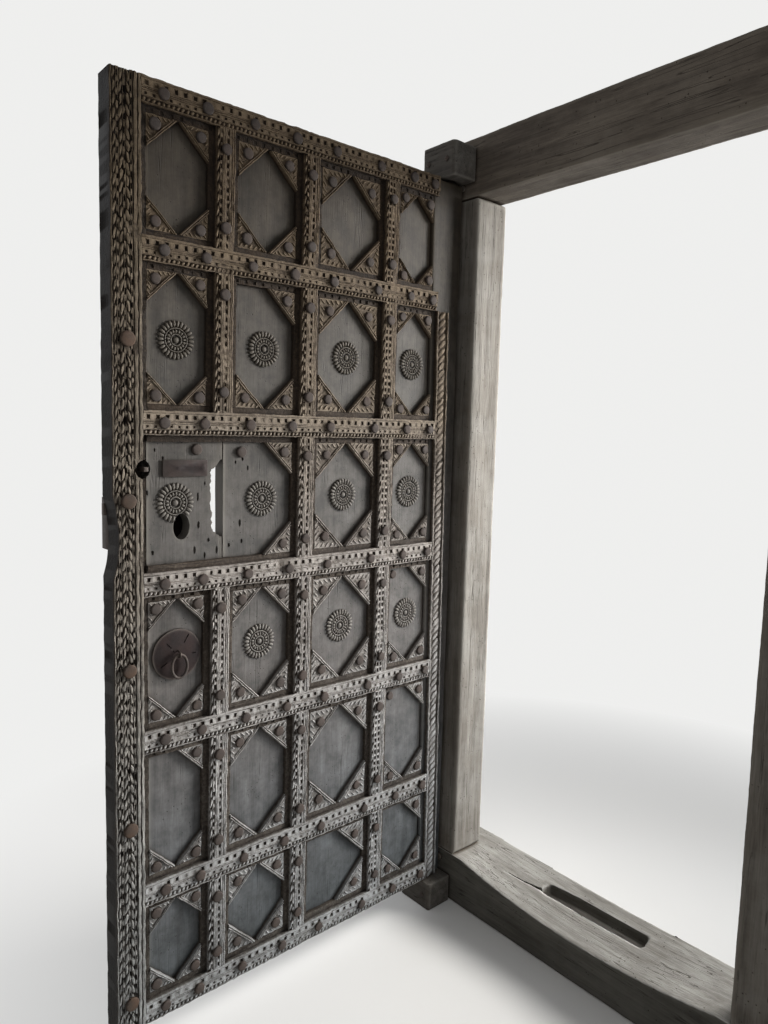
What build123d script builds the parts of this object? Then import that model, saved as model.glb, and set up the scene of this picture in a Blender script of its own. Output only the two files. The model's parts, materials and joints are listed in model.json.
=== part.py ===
from build123d import *
from math import atan2, cos, degrees, pi, sin, sqrt
import os

# An old carved plank door that stands open at a right angle in its timber frame.
# Millimetres, +X from the hinge jamb to the strike jamb, +Y to the outside, +Z up.
# The origin is on the sill's underside, midway across the opening and the jambs' depth.

# Leaf, widths from the free edge to the hinge
closing_stile_w = 60.0
cell_widths = (148.0, 170.5, 198.0, 151.0)
mullion_w = 42.5
border_w = 42.0
plain_strip_w = 36.0
joint_under_mullion = 34.0

# Leaf, heights from the top down
row_heights = (237.0, 281.0, 273.0, 275.0, 278.0, 213.0)
rail_h = 48.0
leaf_lift = 77.5

# Leaf, depths from the carved face to the back
band_h = 11.0
ledge_h = 10.0
plank_t = 37.0
ledge_w = 13.0

# The old joinery is out of square: rails rise toward the hinge, uprights lean
rail_rise = 0.010
upright_leans = (14.5, 11.0, 4.5, -28.0)

# Carving
chip_pitch = 30.0
chip_w = 14.0
chip_h = 10.0
chip_depth = 4.5
chip_edge = 11.0
bead_pitch = 34.0
bead_w = 13.0
bead_h = 22.0
rope_pitch = 50.0
rope_h = 16.0
rope_bands = 3
rope_fillet = 4.0
groove_w = 2.5
groove_depth = 4.0
corner_gap = 5.0
moulding_w = 7.0
moulding_h = 3.0
rosette_r = 38.0
rosette_petals = 12
rosette_h = 3.5
petal_notch = 7.0
rosette_ring_w = 14.0
boss_r = 10.0

# Iron studs
stud_r = 11.0
stud_h = 5.0
stile_stud_r = 14.0
stud_sides = 7
round_sides = 16
stud_after_upright = 43.0
stud_before_upright = 21.0
stud_from_rail = 42.0
stud_clear = 2.0
stile_stud_levels = (1488.0, 1181.0, 846.0, 518.0, 143.0)

# Hinge: the stile's heel is rounded about the pivot's axis
face_gap = 3.0
leaf_setback = 36.6
pivot_r = 17.0
lower_pivot_l = 45.0
upper_pivot_l = 70.0
pivot_gap = 3.0
running_gap = 0.3

# Laps of the closed leaf over the frame
strike_lap = 59.6
foot_lap = 62.5
head_lap = 27.8

# Frame
jamb_w = 120.0
jamb_depth = 116.0
sill_depth = 185.0
lintel_h = 152.0
horn_l = 90.0
arris = 4.0
tenon_shoulder = 20.0
tenon_t = 40.0
tenon_l = 60.0
tenon_gap = 0.3
peg_r = 8.0
peg_sides = 8
wear_depth = 38.0
wear_inset = 24.0
sill_slot = ((234.0, 93.0), (326.0, 95.0), (412.0, 95.0), (526.0, 98.0),
             (522.0, 137.0), (326.0, 136.0), (240.0, 127.0))
sill_slot_depth = 45.0
sill_crack = ((138.0, 78.0), (238.0, 93.0), (234.0, 100.0))
sill_crack_depth = 22.0
block_w = 120.0
block_h = 90.0
block_chamfer = 9.0
spike_r = 9.0
spike_inset = 18.0

# Back of the leaf
batten_h = 86.0
batten_t = 26.0
batten_inset = 22.0
batten_end = 20.0

# Iron and lock at the free edge, placed from the lower left corner of the third row's first cell
keyhole_at = (89.0, 86.5)
keyhole_w = 36.0
keyhole_h = 54.0
strap_at = (47.0, 189.5)
strap_l = 98.0
strap_h = 34.0
strap_t = 3.0
rivet_r = 5.0
rivet_h = 2.0
spindle_at = (4.0, 205.5)
spindle_hole_r = 17.5
spindle_hole_depth = 42.0
spindle_w = 9.0
spindle_l = 28.0
spindle_shift = 7.0
board_slot = ((0.0, 225.0), (-6.0, 223.0), (-29.0, 197.0), (-27.0, 139.0),
              (-24.0, 77.0), (-7.0, 59.0), (0.0, 59.0))
lock_l = 170.0
lock_h = 104.0
lock_depth = 34.0
lock_wall = 3.0
lock_inset = 12.0
bolt_h = 24.0
bolt_t = 10.0
bolt_l = 152.0
bolt_inset = 3.0
bolt_rise = 40.0
bolt_cover = 10.0
bolt_throw = 36.0
talon_w = 12.0
talon_h = 7.0
bridge_at = 112.0
keeper_w = 24.0
keeper_t = 4.0
keeper_gap = 1.5
keeper_foot = 24.0
keeper_clear = 8.0

# Pull in the fourth row's first cell, placed from its lower left corner
plate_at = (77.0, 144.0)
plate_r = 53.0
plate_t = 3.0
plate_dome = 3.0
plate_crown_r = 32.0
ring_w = 40.0
ring_l = 55.0
ring_wire_r = 3.0
ring_drop = 2.0
ring_standoff = 9.0
staple_wire_r = 2.0
staple_gap = 0.6

ring_cell = (3, 0)

# What is broken or lost: worn edge of the closing stile, lost members, broken ledges
edge_bite = (1109.0, 160.0, 11.0)
lost_mullion = (0, 2)
lost_blocks = {
    (1, 1, "top_left"): False,
    (2, 0, "top_left"): False, (2, 0, "top_right"): True,
    (2, 0, "foot_left"): False, (2, 0, "foot_right"): False,
    (2, 1, "top_left"): True, (2, 1, "foot_left"): False,
    (3, 3, "top_left"): True,
    (4, 0, "top_left"): False, (4, 3, "top_left"): True,
    (5, 2, "top_left"): False, (5, 2, "foot_left"): False, (5, 3, "top_left"): False,
}
broken_rail = 2
broken_ledge = (204.0, 268.0)

# Sizes worked out from the ones above
columns = len(cell_widths)
rows = len(row_heights)
field_depth = band_h + ledge_h
leaf_t = field_depth + plank_t
stile_t = leaf_t - band_h
leaf_h = sum(row_heights) + (rows + 1) * rail_h
leaf_top = leaf_lift + leaf_h
upright_left = [closing_stile_w + sum(cell_widths[:i + 1]) + i * mullion_w for i in range(columns)]
corner_across = upright_left[-1] + border_w + plain_strip_w
mid_across = corner_across / 2
mid_up = leaf_lift + leaf_h / 2
board_joints = [left + joint_under_mullion for left in upright_left[:-1]]

pivot_depth = band_h + stile_t / 2
heel_r = pivot_depth + stud_h
heel_reach = sqrt(heel_r ** 2 - (stile_t / 2) ** 2)
pivot_across = corner_across - heel_reach
opening_w = pivot_across - leaf_setback - pivot_depth - strike_lap
room_y = -jamb_depth / 2
pivot_x = -opening_w / 2 - leaf_setback - pivot_depth
pivot_y = room_y - face_gap - heel_r
face_x = pivot_x + pivot_depth
free_y = pivot_y - pivot_across

sill_h = leaf_lift + foot_lap
lintel_low = leaf_top - head_lap
frame_l = opening_w + 2 * (jamb_w + horn_l)
heel_foot = leaf_lift + rail_rise * (pivot_across - mid_across)
heel_top = heel_foot + leaf_h


def rail_low(number):
    """Lower edge of a rail's band; rail 0 is the top one."""
    return leaf_lift + sum(row_heights[number:]) + (rows - number) * rail_h


def rail_high(number):
    return rail_low(number) + rail_h


def left_of(upright, up):
    """Left edge of an upright's band at a height; the last upright is the hinge border."""
    return upright_left[upright] + upright_leans[upright] * (up - mid_up) / leaf_h


def right_of(upright, up):
    return left_of(upright, up) + (mullion_w if upright < columns - 1 else border_w)


def cell_left(column, up):
    return closing_stile_w if column == 0 else right_of(column - 1, up)


def cell_right(column, up):
    return left_of(column, up)


def on_leaf(across, up, depth):
    """Row position of a point of the open leaf."""
    return (face_x - depth, free_y + across, up + rail_rise * (across - mid_across))


def slab(points, near, far):
    """A flat piece of the leaf: its outline across and up, and the depths of its two faces."""
    outline = make_face(Polyline(*[on_leaf(a, u, far) for a, u in points], close=True))
    return extrude(outline, amount=far - near, dir=(1, 0, 0))


def band_between(low, high, left, right, near, far):
    """A slab between two heights whose ends follow two lines of the leaf."""
    return slab([(left(low), low), (right(low), low), (right(high), high), (left(high), high)], near, far)


def put(shape, across, up, depth=0.0):
    return Pos(*on_leaf(across, up, depth)) * shape


def pyramid(corners, tip):
    """A pyramid on the carved face: corners (across, up) and the tip's (outward, across, up)."""
    base = make_face(Polyline(*[(0, a, u) for a, u in corners], close=True))
    return loft([base, Vertex(*tip)])


def steps(low, high, pitch):
    """Even places between two ends, as near the pitch as fits."""
    count = max(1, round((high - low) / pitch))
    return [low + (high - low) * (i + 0.5) / count for i in range(count)]


# Chip cuts: a triangle pointing down, one pointing up, a long bead and a slanting rope cut
def chip_cut(half_h):
    corners = [(-chip_w / 2, half_h), (chip_w / 2, half_h), (0, -half_h)]
    return pyramid(corners, (-chip_depth, 0, half_h / 3))


chip_down, chip_up = chip_cut(chip_h / 2), chip_cut(-chip_h / 2)
bead_corners = [(-bead_w / 2, 0), (0, -bead_h / 2), (bead_w / 2, 0), (0, bead_h / 2)]
bead_cut = pyramid(bead_corners, (-chip_depth, 0, 0))


def rope_cut(width):
    half = width / 2
    corners = [(-half, -rope_h / 2), (half, 0), (half, rope_h / 4), (-half, -rope_h / 4)]
    return pyramid(corners, (-chip_depth, 0, -rope_h / 8))


# Leaf: stiles and planks


def closing_stile():
    """Thick post at the free edge: three roped bands, a ledge toward the planks, a worn outer edge."""
    outline = [(0, leaf_t), (0, groove_depth)]
    rope_w = (closing_stile_w - 2 * rope_fillet) / rope_bands
    for i in range(rope_bands):
        left = rope_fillet + i * rope_w
        outline += [(left, groove_depth), (left + groove_w, 0), (left + rope_w - groove_w, 0)]
    outline += [(closing_stile_w - rope_fillet, groove_depth), (closing_stile_w, groove_depth)]
    outline += [(closing_stile_w, band_h), (closing_stile_w + ledge_w, band_h)]
    outline += [(closing_stile_w + ledge_w, leaf_t)]
    foot = on_leaf(closing_stile_w / 2, leaf_lift, 0)[2]
    section = make_face(Polyline(*[(face_x - d, free_y + a, foot) for a, d in outline], close=True))
    post = extrude(section, amount=leaf_h, dir=(0, 0, 1))
    cuts = []
    for i in (0, rope_bands - 1):
        middle = rope_fillet + (i + 0.5) * rope_w
        cut = rope_cut(rope_w - 2 * groove_w)
        cuts += [put(cut, middle, up) for up in steps(leaf_lift, leaf_top, rope_pitch)]
    level, length, bite = edge_bite
    bite_r = length ** 2 / (8 * bite) + bite / 2
    x, y, z = on_leaf(bite - bite_r, level, leaf_t / 2)
    cuts.append(Pos(x, y, z) * Rot(0, 90, 0) * Cylinder(bite_r, 2 * leaf_t))
    cuts.append(slab_box(2, closing_stile_w, closing_stile_w + ledge_w, band_h, field_depth))
    cuts.append(spindle_hole())
    return post - cuts


def slab_box(row, left, right, near, far):
    """A straight cutter over the clear height of one row."""
    low, high = rail_high(row + 1), rail_low(row)
    return slab([(left, low), (right, low), (right, high), (left, high)], near, far)


def in_cell(row, place):
    """A point given from the lower left corner of the row's first cell."""
    return closing_stile_w + place[0], rail_high(row + 1) + place[1]


def spindle_hole():
    across, up = in_cell(2, spindle_at)
    hole = extrude(Plane.YZ * RegularPolygon(spindle_hole_r, round_sides), amount=spindle_hole_depth)
    return put(hole, across, up, spindle_hole_depth)


def keyhole():
    """An upright oval through the plank, cut with a gouge."""
    across, up = in_cell(2, keyhole_at)
    angles = [2 * pi * i / round_sides for i in range(round_sides)]
    oval = [(across + keyhole_w / 2 * cos(a), up + keyhole_h / 2 * sin(a)) for a in angles]
    return slab(oval, 0, 2 * leaf_t)


def hinge_stile():
    """Plank with a heel rounded about the pivot's axis and a round pivot at each end."""
    inner = [(left_of(columns - 1, up) - ledge_w, up) for up in (leaf_lift, leaf_top)]
    x, depth = face_x - leaf_t, stile_t
    outline = [(x, free_y + inner[0][0], heel_foot), (x, free_y + corner_across, heel_foot),
               (x, free_y + corner_across, heel_top), (x, free_y + inner[1][0], heel_top)]
    plank = extrude(make_face(Polyline(*outline, close=True)), amount=depth, dir=(1, 0, 0))
    near, far = face_x - band_h, face_x - leaf_t
    corner_y = free_y + corner_across
    round_edge = ThreePointArc((near, corner_y, heel_foot), (pivot_x, pivot_y + heel_r, heel_foot),
                               (far, corner_y, heel_foot))
    chord = Line((far, corner_y, heel_foot), (near, corner_y, heel_foot))
    heel = extrude(make_face([round_edge, chord]), amount=leaf_h, dir=(0, 0, 1))
    foot = Pos(pivot_x, pivot_y, heel_foot - lower_pivot_l / 2) * Cylinder(pivot_r, lower_pivot_l)
    head = Pos(pivot_x, pivot_y, heel_top + upper_pivot_l / 2) * Cylinder(pivot_r, upper_pivot_l)
    return plank + heel + foot + head


def rosette():
    """A flower in low relief: a ring of petals, a hollow and a pointed boss."""
    count = 2 * rosette_petals
    reach = [rosette_r - (petal_notch if i % 2 else 0) for i in range(count)]
    petals = [(0, r * cos(2 * pi * i / count), r * sin(2 * pi * i / count)) for i, r in enumerate(reach)]
    ring = extrude(make_face(Polyline(*petals, close=True)), amount=rosette_h, dir=(1, 0, 0))
    hollow = Plane.YZ * RegularPolygon(rosette_r - petal_notch - rosette_ring_w, stud_sides)
    ring -= extrude(hollow, amount=rosette_h)
    return ring + raised_point(boss_r, rosette_h)


def raised_point(radius, height):
    """A low faceted dome that stands on the face behind it."""
    return loft([Plane.YZ * RegularPolygon(radius, stud_sides), Vertex(height, 0, 0)])


def board_slot_cut():
    """The rotted slot along the joint of the first two planks."""
    up = rail_high(3)
    return slab([(board_joints[0] + a, up + u) for a, u in board_slot], field_depth, leaf_t)


def field_board(column, low, high):
    """A vertical plank between two heights, with the rosettes that lie on it."""
    last = column == columns - 1
    left = closing_stile_w + ledge_w if column == 0 else board_joints[column - 1]

    def right(up):
        return left_of(column, up) - ledge_w if last else board_joints[column]

    board = band_between(low, high, lambda up: left, right, field_depth, leaf_t)
    for row in (1, 2, 3):
        middle = (rail_low(row) + rail_high(row + 1)) / 2
        if low < middle < high and (row, column) != ring_cell:
            across = (cell_left(column, middle) + cell_right(column, middle)) / 2
            board += put(rosette(), across, middle, field_depth)
    return board


def rail_middle(number):
    return (rail_low(number) + rail_high(number)) / 2


def lock_board():
    """The short plank let in behind the lock: keyhole, spindle's hole and the rotted edge."""
    plank = field_board(0, rail_middle(3), rail_middle(2))
    return plank - [board_slot_cut(), keyhole(), spindle_hole()]


# Leaf: carved members nailed on the planks


def rail(number):
    """A rail with a ledge along both sides and two rows of chip carving."""
    low, high = rail_low(number), rail_high(number)
    foot = low - (0 if number == rows else ledge_w)
    head = high + (0 if number == 0 else ledge_w)
    border = columns - 1
    base = band_between(foot, head, lambda up: closing_stile_w + ledge_w,
                        lambda up: left_of(border, up) - ledge_w, band_h, field_depth)
    band = band_between(low, high, lambda up: closing_stile_w, lambda up: left_of(border, up), 0, band_h)
    places = steps(closing_stile_w, left_of(border, low), chip_pitch)
    cuts = [put(chip_down, across, high - chip_edge) for across in places]
    cuts += [put(chip_up, across + chip_pitch / 4, low + chip_edge) for across in places[:-1]]
    if number == broken_rail:
        left, right = broken_ledge
        cuts.append(slab([(left, foot), (right, foot), (right, low), (left, low)], band_h, field_depth))
    return base + band - cuts


def mullion(column, row):
    """An upright between two rails: its band laps the rails' ledges."""
    low, high = rail_high(row + 1), rail_low(row)
    base = band_between(low + ledge_w, high - ledge_w, lambda up: left_of(column, up) - ledge_w,
                        lambda up: right_of(column, up) + ledge_w, band_h, field_depth)
    band = band_between(low, high, lambda up: left_of(column, up), lambda up: right_of(column, up), 0, band_h)
    cuts = [put(bead_cut, left_of(column, up) + mullion_w / 2, up) for up in steps(low, high, bead_pitch)]
    return base + band - cuts


def hinge_border():
    """The roped strip on the hinge stile; its upper end is lost above the first rail."""
    border = columns - 1
    low, high = leaf_lift, rail_low(1)
    left, right = (lambda up: left_of(border, up)), (lambda up: right_of(border, up))
    strip = band_between(low, high, left, right, 0, band_h)
    cut = rope_cut(border_w - 4 * groove_w)
    return strip - [put(cut, left_of(border, up) + border_w / 2, up) for up in steps(low, high, rope_pitch)]


def corner(column, row, place):
    """The three points of a cell's corner block, its right angle first."""
    top, left = place.startswith("top"), place.endswith("left")
    up = rail_low(row) - ledge_w if top else rail_high(row + 1) + ledge_w
    middle = (rail_low(row) + rail_high(row + 1)) / 2
    leg = (cell_right(column, middle) - cell_left(column, middle)) / 2 - ledge_w - corner_gap / 2

    def edge(level):
        return cell_left(column, level) + ledge_w if left else cell_right(column, level) - ledge_w

    end = up - leg if top else up + leg
    return (edge(up), up), (edge(up) + (leg if left else -leg), up), (edge(end), end)


def toward(point, aim, distance):
    """A point moved by a distance toward another."""
    length = sqrt((aim[0] - point[0]) ** 2 + (aim[1] - point[1]) ** 2)
    return tuple(point[i] + (aim[i] - point[i]) * distance / length for i in (0, 1))


def corner_block(column, row, place):
    """A triangular block with a raised moulding along its slope."""
    right_angle, a, b = corner(column, row, place)
    inner = [toward(b, right_angle, moulding_w * sqrt(2)), toward(a, right_angle, moulding_w * sqrt(2))]
    block = slab([right_angle, a, b], band_h, field_depth)
    return block + slab([a, b, *inner], band_h - moulding_h, band_h)


def corner_middle(column, row, place):
    """Where the block's stud is: just clear of the moulding, on the line to the right angle."""
    right_angle, a, b = corner(column, row, place)
    slope_middle = tuple((a[i] + b[i]) / 2 for i in (0, 1))
    return toward(slope_middle, right_angle, moulding_w + stud_clear + stud_r)


places = ("top_left", "top_right", "foot_left", "foot_right")
mullion_list = [(c, r) for r in range(rows) for c in range(columns - 1) if (c, r) != lost_mullion]


def corner_blocks(column):
    kept = [(r, p) for r in range(rows) for p in places if (r, column, p) not in lost_blocks]
    return Compound(children=[corner_block(column, r, p) for r, p in kept])


# Leaf: iron


def band_studs():
    """Two studs over each cell on the middle line of every rail, and two on every mullion."""
    heads = []
    for number in range(rows + 1):
        level = rail_middle(number)
        for column in range(columns):
            places = (cell_left(column, level) + stud_after_upright,
                      cell_right(column, level) - stud_before_upright)
            for across in places:
                heads.append(put(raised_point(stud_r, stud_h), across, level))
    for column, row in mullion_list:
        for up in (rail_low(row) - stud_from_rail, rail_high(row + 1) + stud_from_rail):
            heads.append(put(raised_point(stud_r, stud_h), left_of(column, up) + mullion_w / 2, up))
    return Compound(children=heads)


def corner_studs():
    """One stud in each corner block, and those that are left where a block is lost."""
    heads = []
    for row in range(rows):
        for column in range(columns):
            for place in places:
                lost = (row, column, place) in lost_blocks
                if not lost or lost_blocks[(row, column, place)]:
                    seat = field_depth if lost else band_h
                    across, up = corner_middle(column, row, place)
                    heads.append(put(raised_point(stud_r, stud_h), across, up, seat))
    return Compound(children=heads)


def stile_studs():
    stud = raised_point(stile_stud_r, stud_h)
    return Compound(children=[put(stud, closing_stile_w / 2, up) for up in stile_stud_levels])


def hasp_strap():
    """A flat iron strap on the first plank, with two rivet heads."""
    left, low = in_cell(2, strap_at)
    strap = slab([(left, low), (left + strap_l, low), (left + strap_l, low + strap_h), (left, low + strap_h)],
                 field_depth - strap_t, field_depth)
    for share in (1 / 3, 0.9):
        rivet = raised_point(rivet_r, rivet_h)
        strap += put(rivet, left + share * strap_l, low + strap_h / 2, field_depth - strap_t)
    return strap


def latch_spindle():
    """The square end of a latch's spindle, standing in its round hole."""
    across, up = in_cell(2, spindle_at)
    bar = Box(spindle_l, spindle_w, spindle_w)
    return put(bar, across + spindle_shift, up, spindle_hole_depth - spindle_l / 2)


def ring_plate():
    """A round iron plate, beaten to a low dome."""
    across, up = in_cell(ring_cell[0], plate_at)
    rim = RegularPolygon(plate_r, 2 * round_sides)
    slope = degrees(atan2(plate_r - plate_crown_r, plate_dome))
    disc = extrude(rim, amount=plate_t)
    disc += extrude(Pos(0, 0, plate_t) * rim, amount=plate_dome, taper=slope)
    return put(Plane.YZ * disc, across, up, field_depth)


ring_depth = field_depth - plate_t - plate_dome - ring_standoff


def pull_ring():
    """An oblong ring of round bar that hangs from its staple."""
    across, up = in_cell(ring_cell[0], plate_at)
    r = ring_w / 2 - ring_wire_r
    straight = ring_l - ring_w
    turn = [pi * i / round_sides * 2 for i in range(round_sides // 2 + 1)]
    points = [(0, r * cos(a), r * sin(a) - r) for a in turn]
    points += [(0, -r * cos(a), -r * sin(a) - r - straight) for a in turn]
    path = Polyline(*points, close=True)
    start = Plane(origin=points[0], z_dir=(0, 0, 1)) * RegularPolygon(ring_wire_r, stud_sides)
    ring = sweep(start, path=path, transition=Transition.RIGHT)
    return put(ring, across, up + ring_drop, ring_depth)


def ring_staple():
    """A bent wire that stands out of the plate and holds the ring's top."""
    across, up = in_cell(ring_cell[0], plate_at)
    r = ring_wire_r + staple_gap + staple_wire_r
    turn = [pi * i / stud_sides for i in range(stud_sides + 1)]
    bend = [(r * sin(a), 0, r * cos(a)) for a in turn]
    path = Polyline((-ring_standoff, 0, r), *bend, (-ring_standoff, 0, -r))
    start = Plane(origin=(-ring_standoff, 0, r), z_dir=(1, 0, 0)) * RegularPolygon(staple_wire_r, stud_sides)
    staple = sweep(start, path=path, transition=Transition.RIGHT)
    return put(staple, across, up + ring_drop, ring_depth)


# Leaf: back


def back_batten(number):
    """A ledge across the back that holds the planks, behind one rail."""
    low, high = rail_middle(number) - batten_h / 2, rail_middle(number) + batten_h / 2
    return band_between(low, high, lambda up: batten_inset, lambda up: left_of(columns - 1, up) + batten_end,
                        leaf_t, leaf_t + batten_t)


def back_box(left, right, low, high, near, far):
    return slab([(left, low), (right, low), (right, high), (left, high)], near, far)


bolt_up = in_cell(2, keyhole_at)[1] + bolt_rise
lock_low = bolt_up + bolt_h / 2 + bolt_cover - lock_h


def lock_case():
    """A shallow iron case, open against the planks, with a bridge inside that guides the bolt."""
    left, right, high = lock_inset, lock_inset + lock_l, lock_low + lock_h
    case = back_box(left, right, lock_low, high, leaf_t, leaf_t + lock_depth)
    case -= back_box(left + lock_wall, right - lock_wall, lock_low + lock_wall, high - lock_wall,
                     leaf_t, leaf_t + lock_depth - lock_wall)
    case += back_box(bridge_at, bridge_at + lock_wall, lock_low + lock_wall, high - lock_wall,
                     leaf_t, leaf_t + lock_depth - lock_wall)
    return case - back_box(0, bridge_at + 2 * lock_wall, bolt_up - bolt_h / 2 - running_gap,
                           bolt_up + bolt_h / 2 + running_gap, leaf_t, leaf_t + bolt_t + 2 * running_gap)


def lock_bolt():
    """A flat iron bolt, drawn back, with the notch in which the key turns."""
    low = bolt_up - bolt_h / 2
    near = leaf_t + running_gap
    bar = back_box(bolt_inset, bolt_inset + bolt_l, low, low + bolt_h, near, near + bolt_t)
    talon = in_cell(2, keyhole_at)[0] - bolt_throw
    left = talon - talon_w / 2
    return bar - back_box(left, left + talon_w, low, low + talon_h, leaf_t, leaf_t + 2 * bolt_t)


# Frame


def closed_place(across, depth):
    """Where a point of the leaf lies when the leaf is shut."""
    return pivot_x + pivot_across - across, pivot_y + pivot_depth - depth


def frame_box(x0, x1, y0, y1, z0, z1):
    return Pos((x0 + x1) / 2, (y0 + y1) / 2, (z0 + z1) / 2) * Box(x1 - x0, y1 - y0, z1 - z0)


def tenon(side, level, length, gap):
    """A jamb's tenon or, with a gap, its mortise, from a shoulder level up or down."""
    middle = side * (opening_w / 2 + jamb_w / 2)
    half = jamb_w / 2 - tenon_shoulder + gap
    low, high = sorted((level, level + length))
    return frame_box(middle - half, middle + half, -tenon_t / 2 - gap, tenon_t / 2 + gap, low, high)


def peg_hole(side, level, radius, length):
    """A peg through a joint, or its hole, along the wall's depth."""
    turned = Plane.XZ * RegularPolygon(radius, peg_sides)
    return Pos(side * (opening_w + jamb_w) / 2, room_y + length, level) * extrude(turned, amount=length)


peg_levels = ((sill_h - tenon_l / 2, sill_depth), (lintel_low + tenon_l / 2, jamb_depth))


def jamb(side):
    """A post with a tenon at each end and a worn arris along the opening."""
    inner, outer = side * opening_w / 2, side * (opening_w / 2 + jamb_w)
    low, high = sorted((inner, outer))
    post = frame_box(low, high, room_y, -room_y, sill_h, lintel_low)
    worn = Polyline((inner, room_y, sill_h), (inner + side * arris, room_y, sill_h),
                    (inner, room_y + arris, sill_h), close=True)
    post -= extrude(make_face(worn), amount=lintel_low - sill_h, dir=(0, 0, 1))
    post += tenon(side, sill_h, -tenon_l, 0)
    post += tenon(side, lintel_low, tenon_l, 0)
    return post - [peg_hole(side, level, peg_r + tenon_gap, length) for level, length in peg_levels]


def lintel():
    """The head beam with its two mortises and horns beyond the jambs."""
    beam = frame_box(-frame_l / 2, frame_l / 2, room_y, -room_y, lintel_low, lintel_low + lintel_h)
    worn = Polyline((-opening_w / 2, room_y, lintel_low), (-opening_w / 2, room_y + arris, lintel_low),
                    (-opening_w / 2, room_y, lintel_low + arris), close=True)
    beam -= extrude(make_face(worn), amount=opening_w, dir=(1, 0, 0))
    level, length = peg_levels[1]
    for side in (-1, 1):
        beam -= tenon(side, lintel_low, tenon_l + tenon_gap, tenon_gap)
        beam -= peg_hole(side, level, peg_r + tenon_gap, length)
    return beam


def from_reveal(points):
    """Points given from the hinge reveal and the room face, on the sill's top."""
    return [(-opening_w / 2 + x, room_y + y, sill_h) for x, y in points]


def sill():
    """The threshold: its top is worn hollow, with a rotted slot and a crack."""
    beam = frame_box(-frame_l / 2, frame_l / 2, room_y, room_y + sill_depth, 0, sill_h)
    half = opening_w / 2 - wear_inset
    profile = []
    for y, sink in ((room_y, wear_depth), (room_y + sill_depth, wear_depth / 6)):
        edge = [ThreePointArc((-half, y, sill_h), (0, y, sill_h - sink), (half, y, sill_h)),
                Line((half, y, sill_h), (-half, y, sill_h))]
        profile.append(make_face(edge))
    beam -= loft(profile)
    for outline, depth in ((sill_slot, sill_slot_depth), (sill_crack, sill_crack_depth)):
        beam -= extrude(make_face(Polyline(*from_reveal(outline), close=True)), amount=depth, dir=(0, 0, -1))
    level, length = peg_levels[0]
    for side in (-1, 1):
        beam -= tenon(side, sill_h, -tenon_l - tenon_gap, tenon_gap)
        beam -= peg_hole(side, level, peg_r + tenon_gap, length)
    return beam


def frame_pegs():
    pegs = [peg_hole(side, level, peg_r, length) for side in (-1, 1) for level, length in peg_levels]
    return Compound(children=pegs)


def pivot_block(low, high):
    """A squared block on the frame's room face, its corners cut back, before its socket is bored."""
    block_depth = 2 * (room_y - pivot_y)
    block = frame_box(pivot_x - block_w / 2, pivot_x + block_w / 2, room_y - block_depth, room_y, low, high)
    return chamfer(block.edges().filter_by(Axis.Z).group_by(Axis.Y)[0], block_chamfer)


def lower_pivot_block():
    high = heel_foot - pivot_gap
    socket_low = heel_foot - lower_pivot_l - running_gap
    socket = Cylinder(pivot_r + running_gap, high - socket_low)
    socket = Pos(pivot_x, pivot_y, (socket_low + high) / 2) * socket
    return pivot_block(0, high) - socket


def upper_pivot_block():
    low = heel_top + pivot_gap
    socket = Pos(pivot_x, pivot_y, low + block_h / 2) * Cylinder(pivot_r + running_gap, block_h)
    return pivot_block(low, low + block_h) - socket


def spike_head():
    """A hand-forged head on a face that looks into the room."""
    return loft([Plane.XZ * RegularPolygon(spike_r, 4), Vertex(0, -stud_h, 0)])


def frame_spikes():
    """Spikes through the two socket blocks and the keeper's feet."""
    block_face = room_y - 2 * (room_y - pivot_y)
    heads = []
    for level in ((heel_foot - pivot_gap) / 2, heel_top + pivot_gap + block_h / 2):
        for side in (-1, 1):
            spike_x = pivot_x + side * (block_w / 2 - block_chamfer - spike_inset)
            heads.append(Pos(spike_x, block_face, level) * spike_head())
    return Compound(children=heads)


def bolt_keeper():
    """A bent iron staple on the strike jamb, into which the bolt shoots."""
    x, near = closed_place(0, leaf_t)
    reach = room_y - closed_place(0, leaf_t + running_gap + bolt_t)[1] + keeper_gap
    half = bolt_h / 2 + keeper_gap
    level = on_leaf(0, bolt_up, 0)[2]
    t, foot = keeper_t, keeper_foot
    side = [(0, half + t + foot), (t, half + t + foot), (t, half + t), (reach + t, half + t)]
    outline = side + [(out, -up) for out, up in reversed(side)]
    outline += [(0, -half), (reach, -half), (reach, half), (0, half)]
    start = x + keeper_clear
    face = make_face(Polyline(*[(start, room_y - out, level + up) for out, up in outline], close=True))
    return extrude(face, amount=keeper_w, dir=(1, 0, 0))


parts = {
    "sill": sill(), "lintel": lintel(), "hinge_jamb": jamb(-1), "strike_jamb": jamb(1),
    "frame_pegs": frame_pegs(), "frame_spikes": frame_spikes(),
    "lower_pivot_block": lower_pivot_block(), "upper_pivot_block": upper_pivot_block(),
    "bolt_keeper": bolt_keeper(),
    "closing_stile": closing_stile(), "hinge_stile": hinge_stile(), "hinge_border": hinge_border(),
    "band_studs": band_studs(), "corner_studs": corner_studs(),
    "stile_studs": stile_studs(), "hasp_strap": hasp_strap(), "latch_spindle": latch_spindle(),
    "ring_plate": ring_plate(), "ring_staple": ring_staple(), "pull_ring": pull_ring(),
    "lock_case": lock_case(), "lock_bolt": lock_bolt(), "lock_board": lock_board(),
    "field_board_1_upper": field_board(0, rail_middle(2), leaf_top),
    "field_board_1_lower": field_board(0, leaf_lift, rail_middle(3)),
}
for number in range(rows + 1):
    name = "top_rail" if number == 0 else "bottom_rail" if number == rows else f"rail_{number}"
    parts[name] = rail(number)
for column in range(columns):
    parts[f"corner_blocks_{column + 1}"] = corner_blocks(column)
    if column > 0:
        parts[f"field_board_{column + 1}"] = field_board(column, leaf_lift, leaf_top)
for column, row in mullion_list:
    parts[f"mullion_{column + 1}_row_{row + 1}"] = mullion(column, row)
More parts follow.
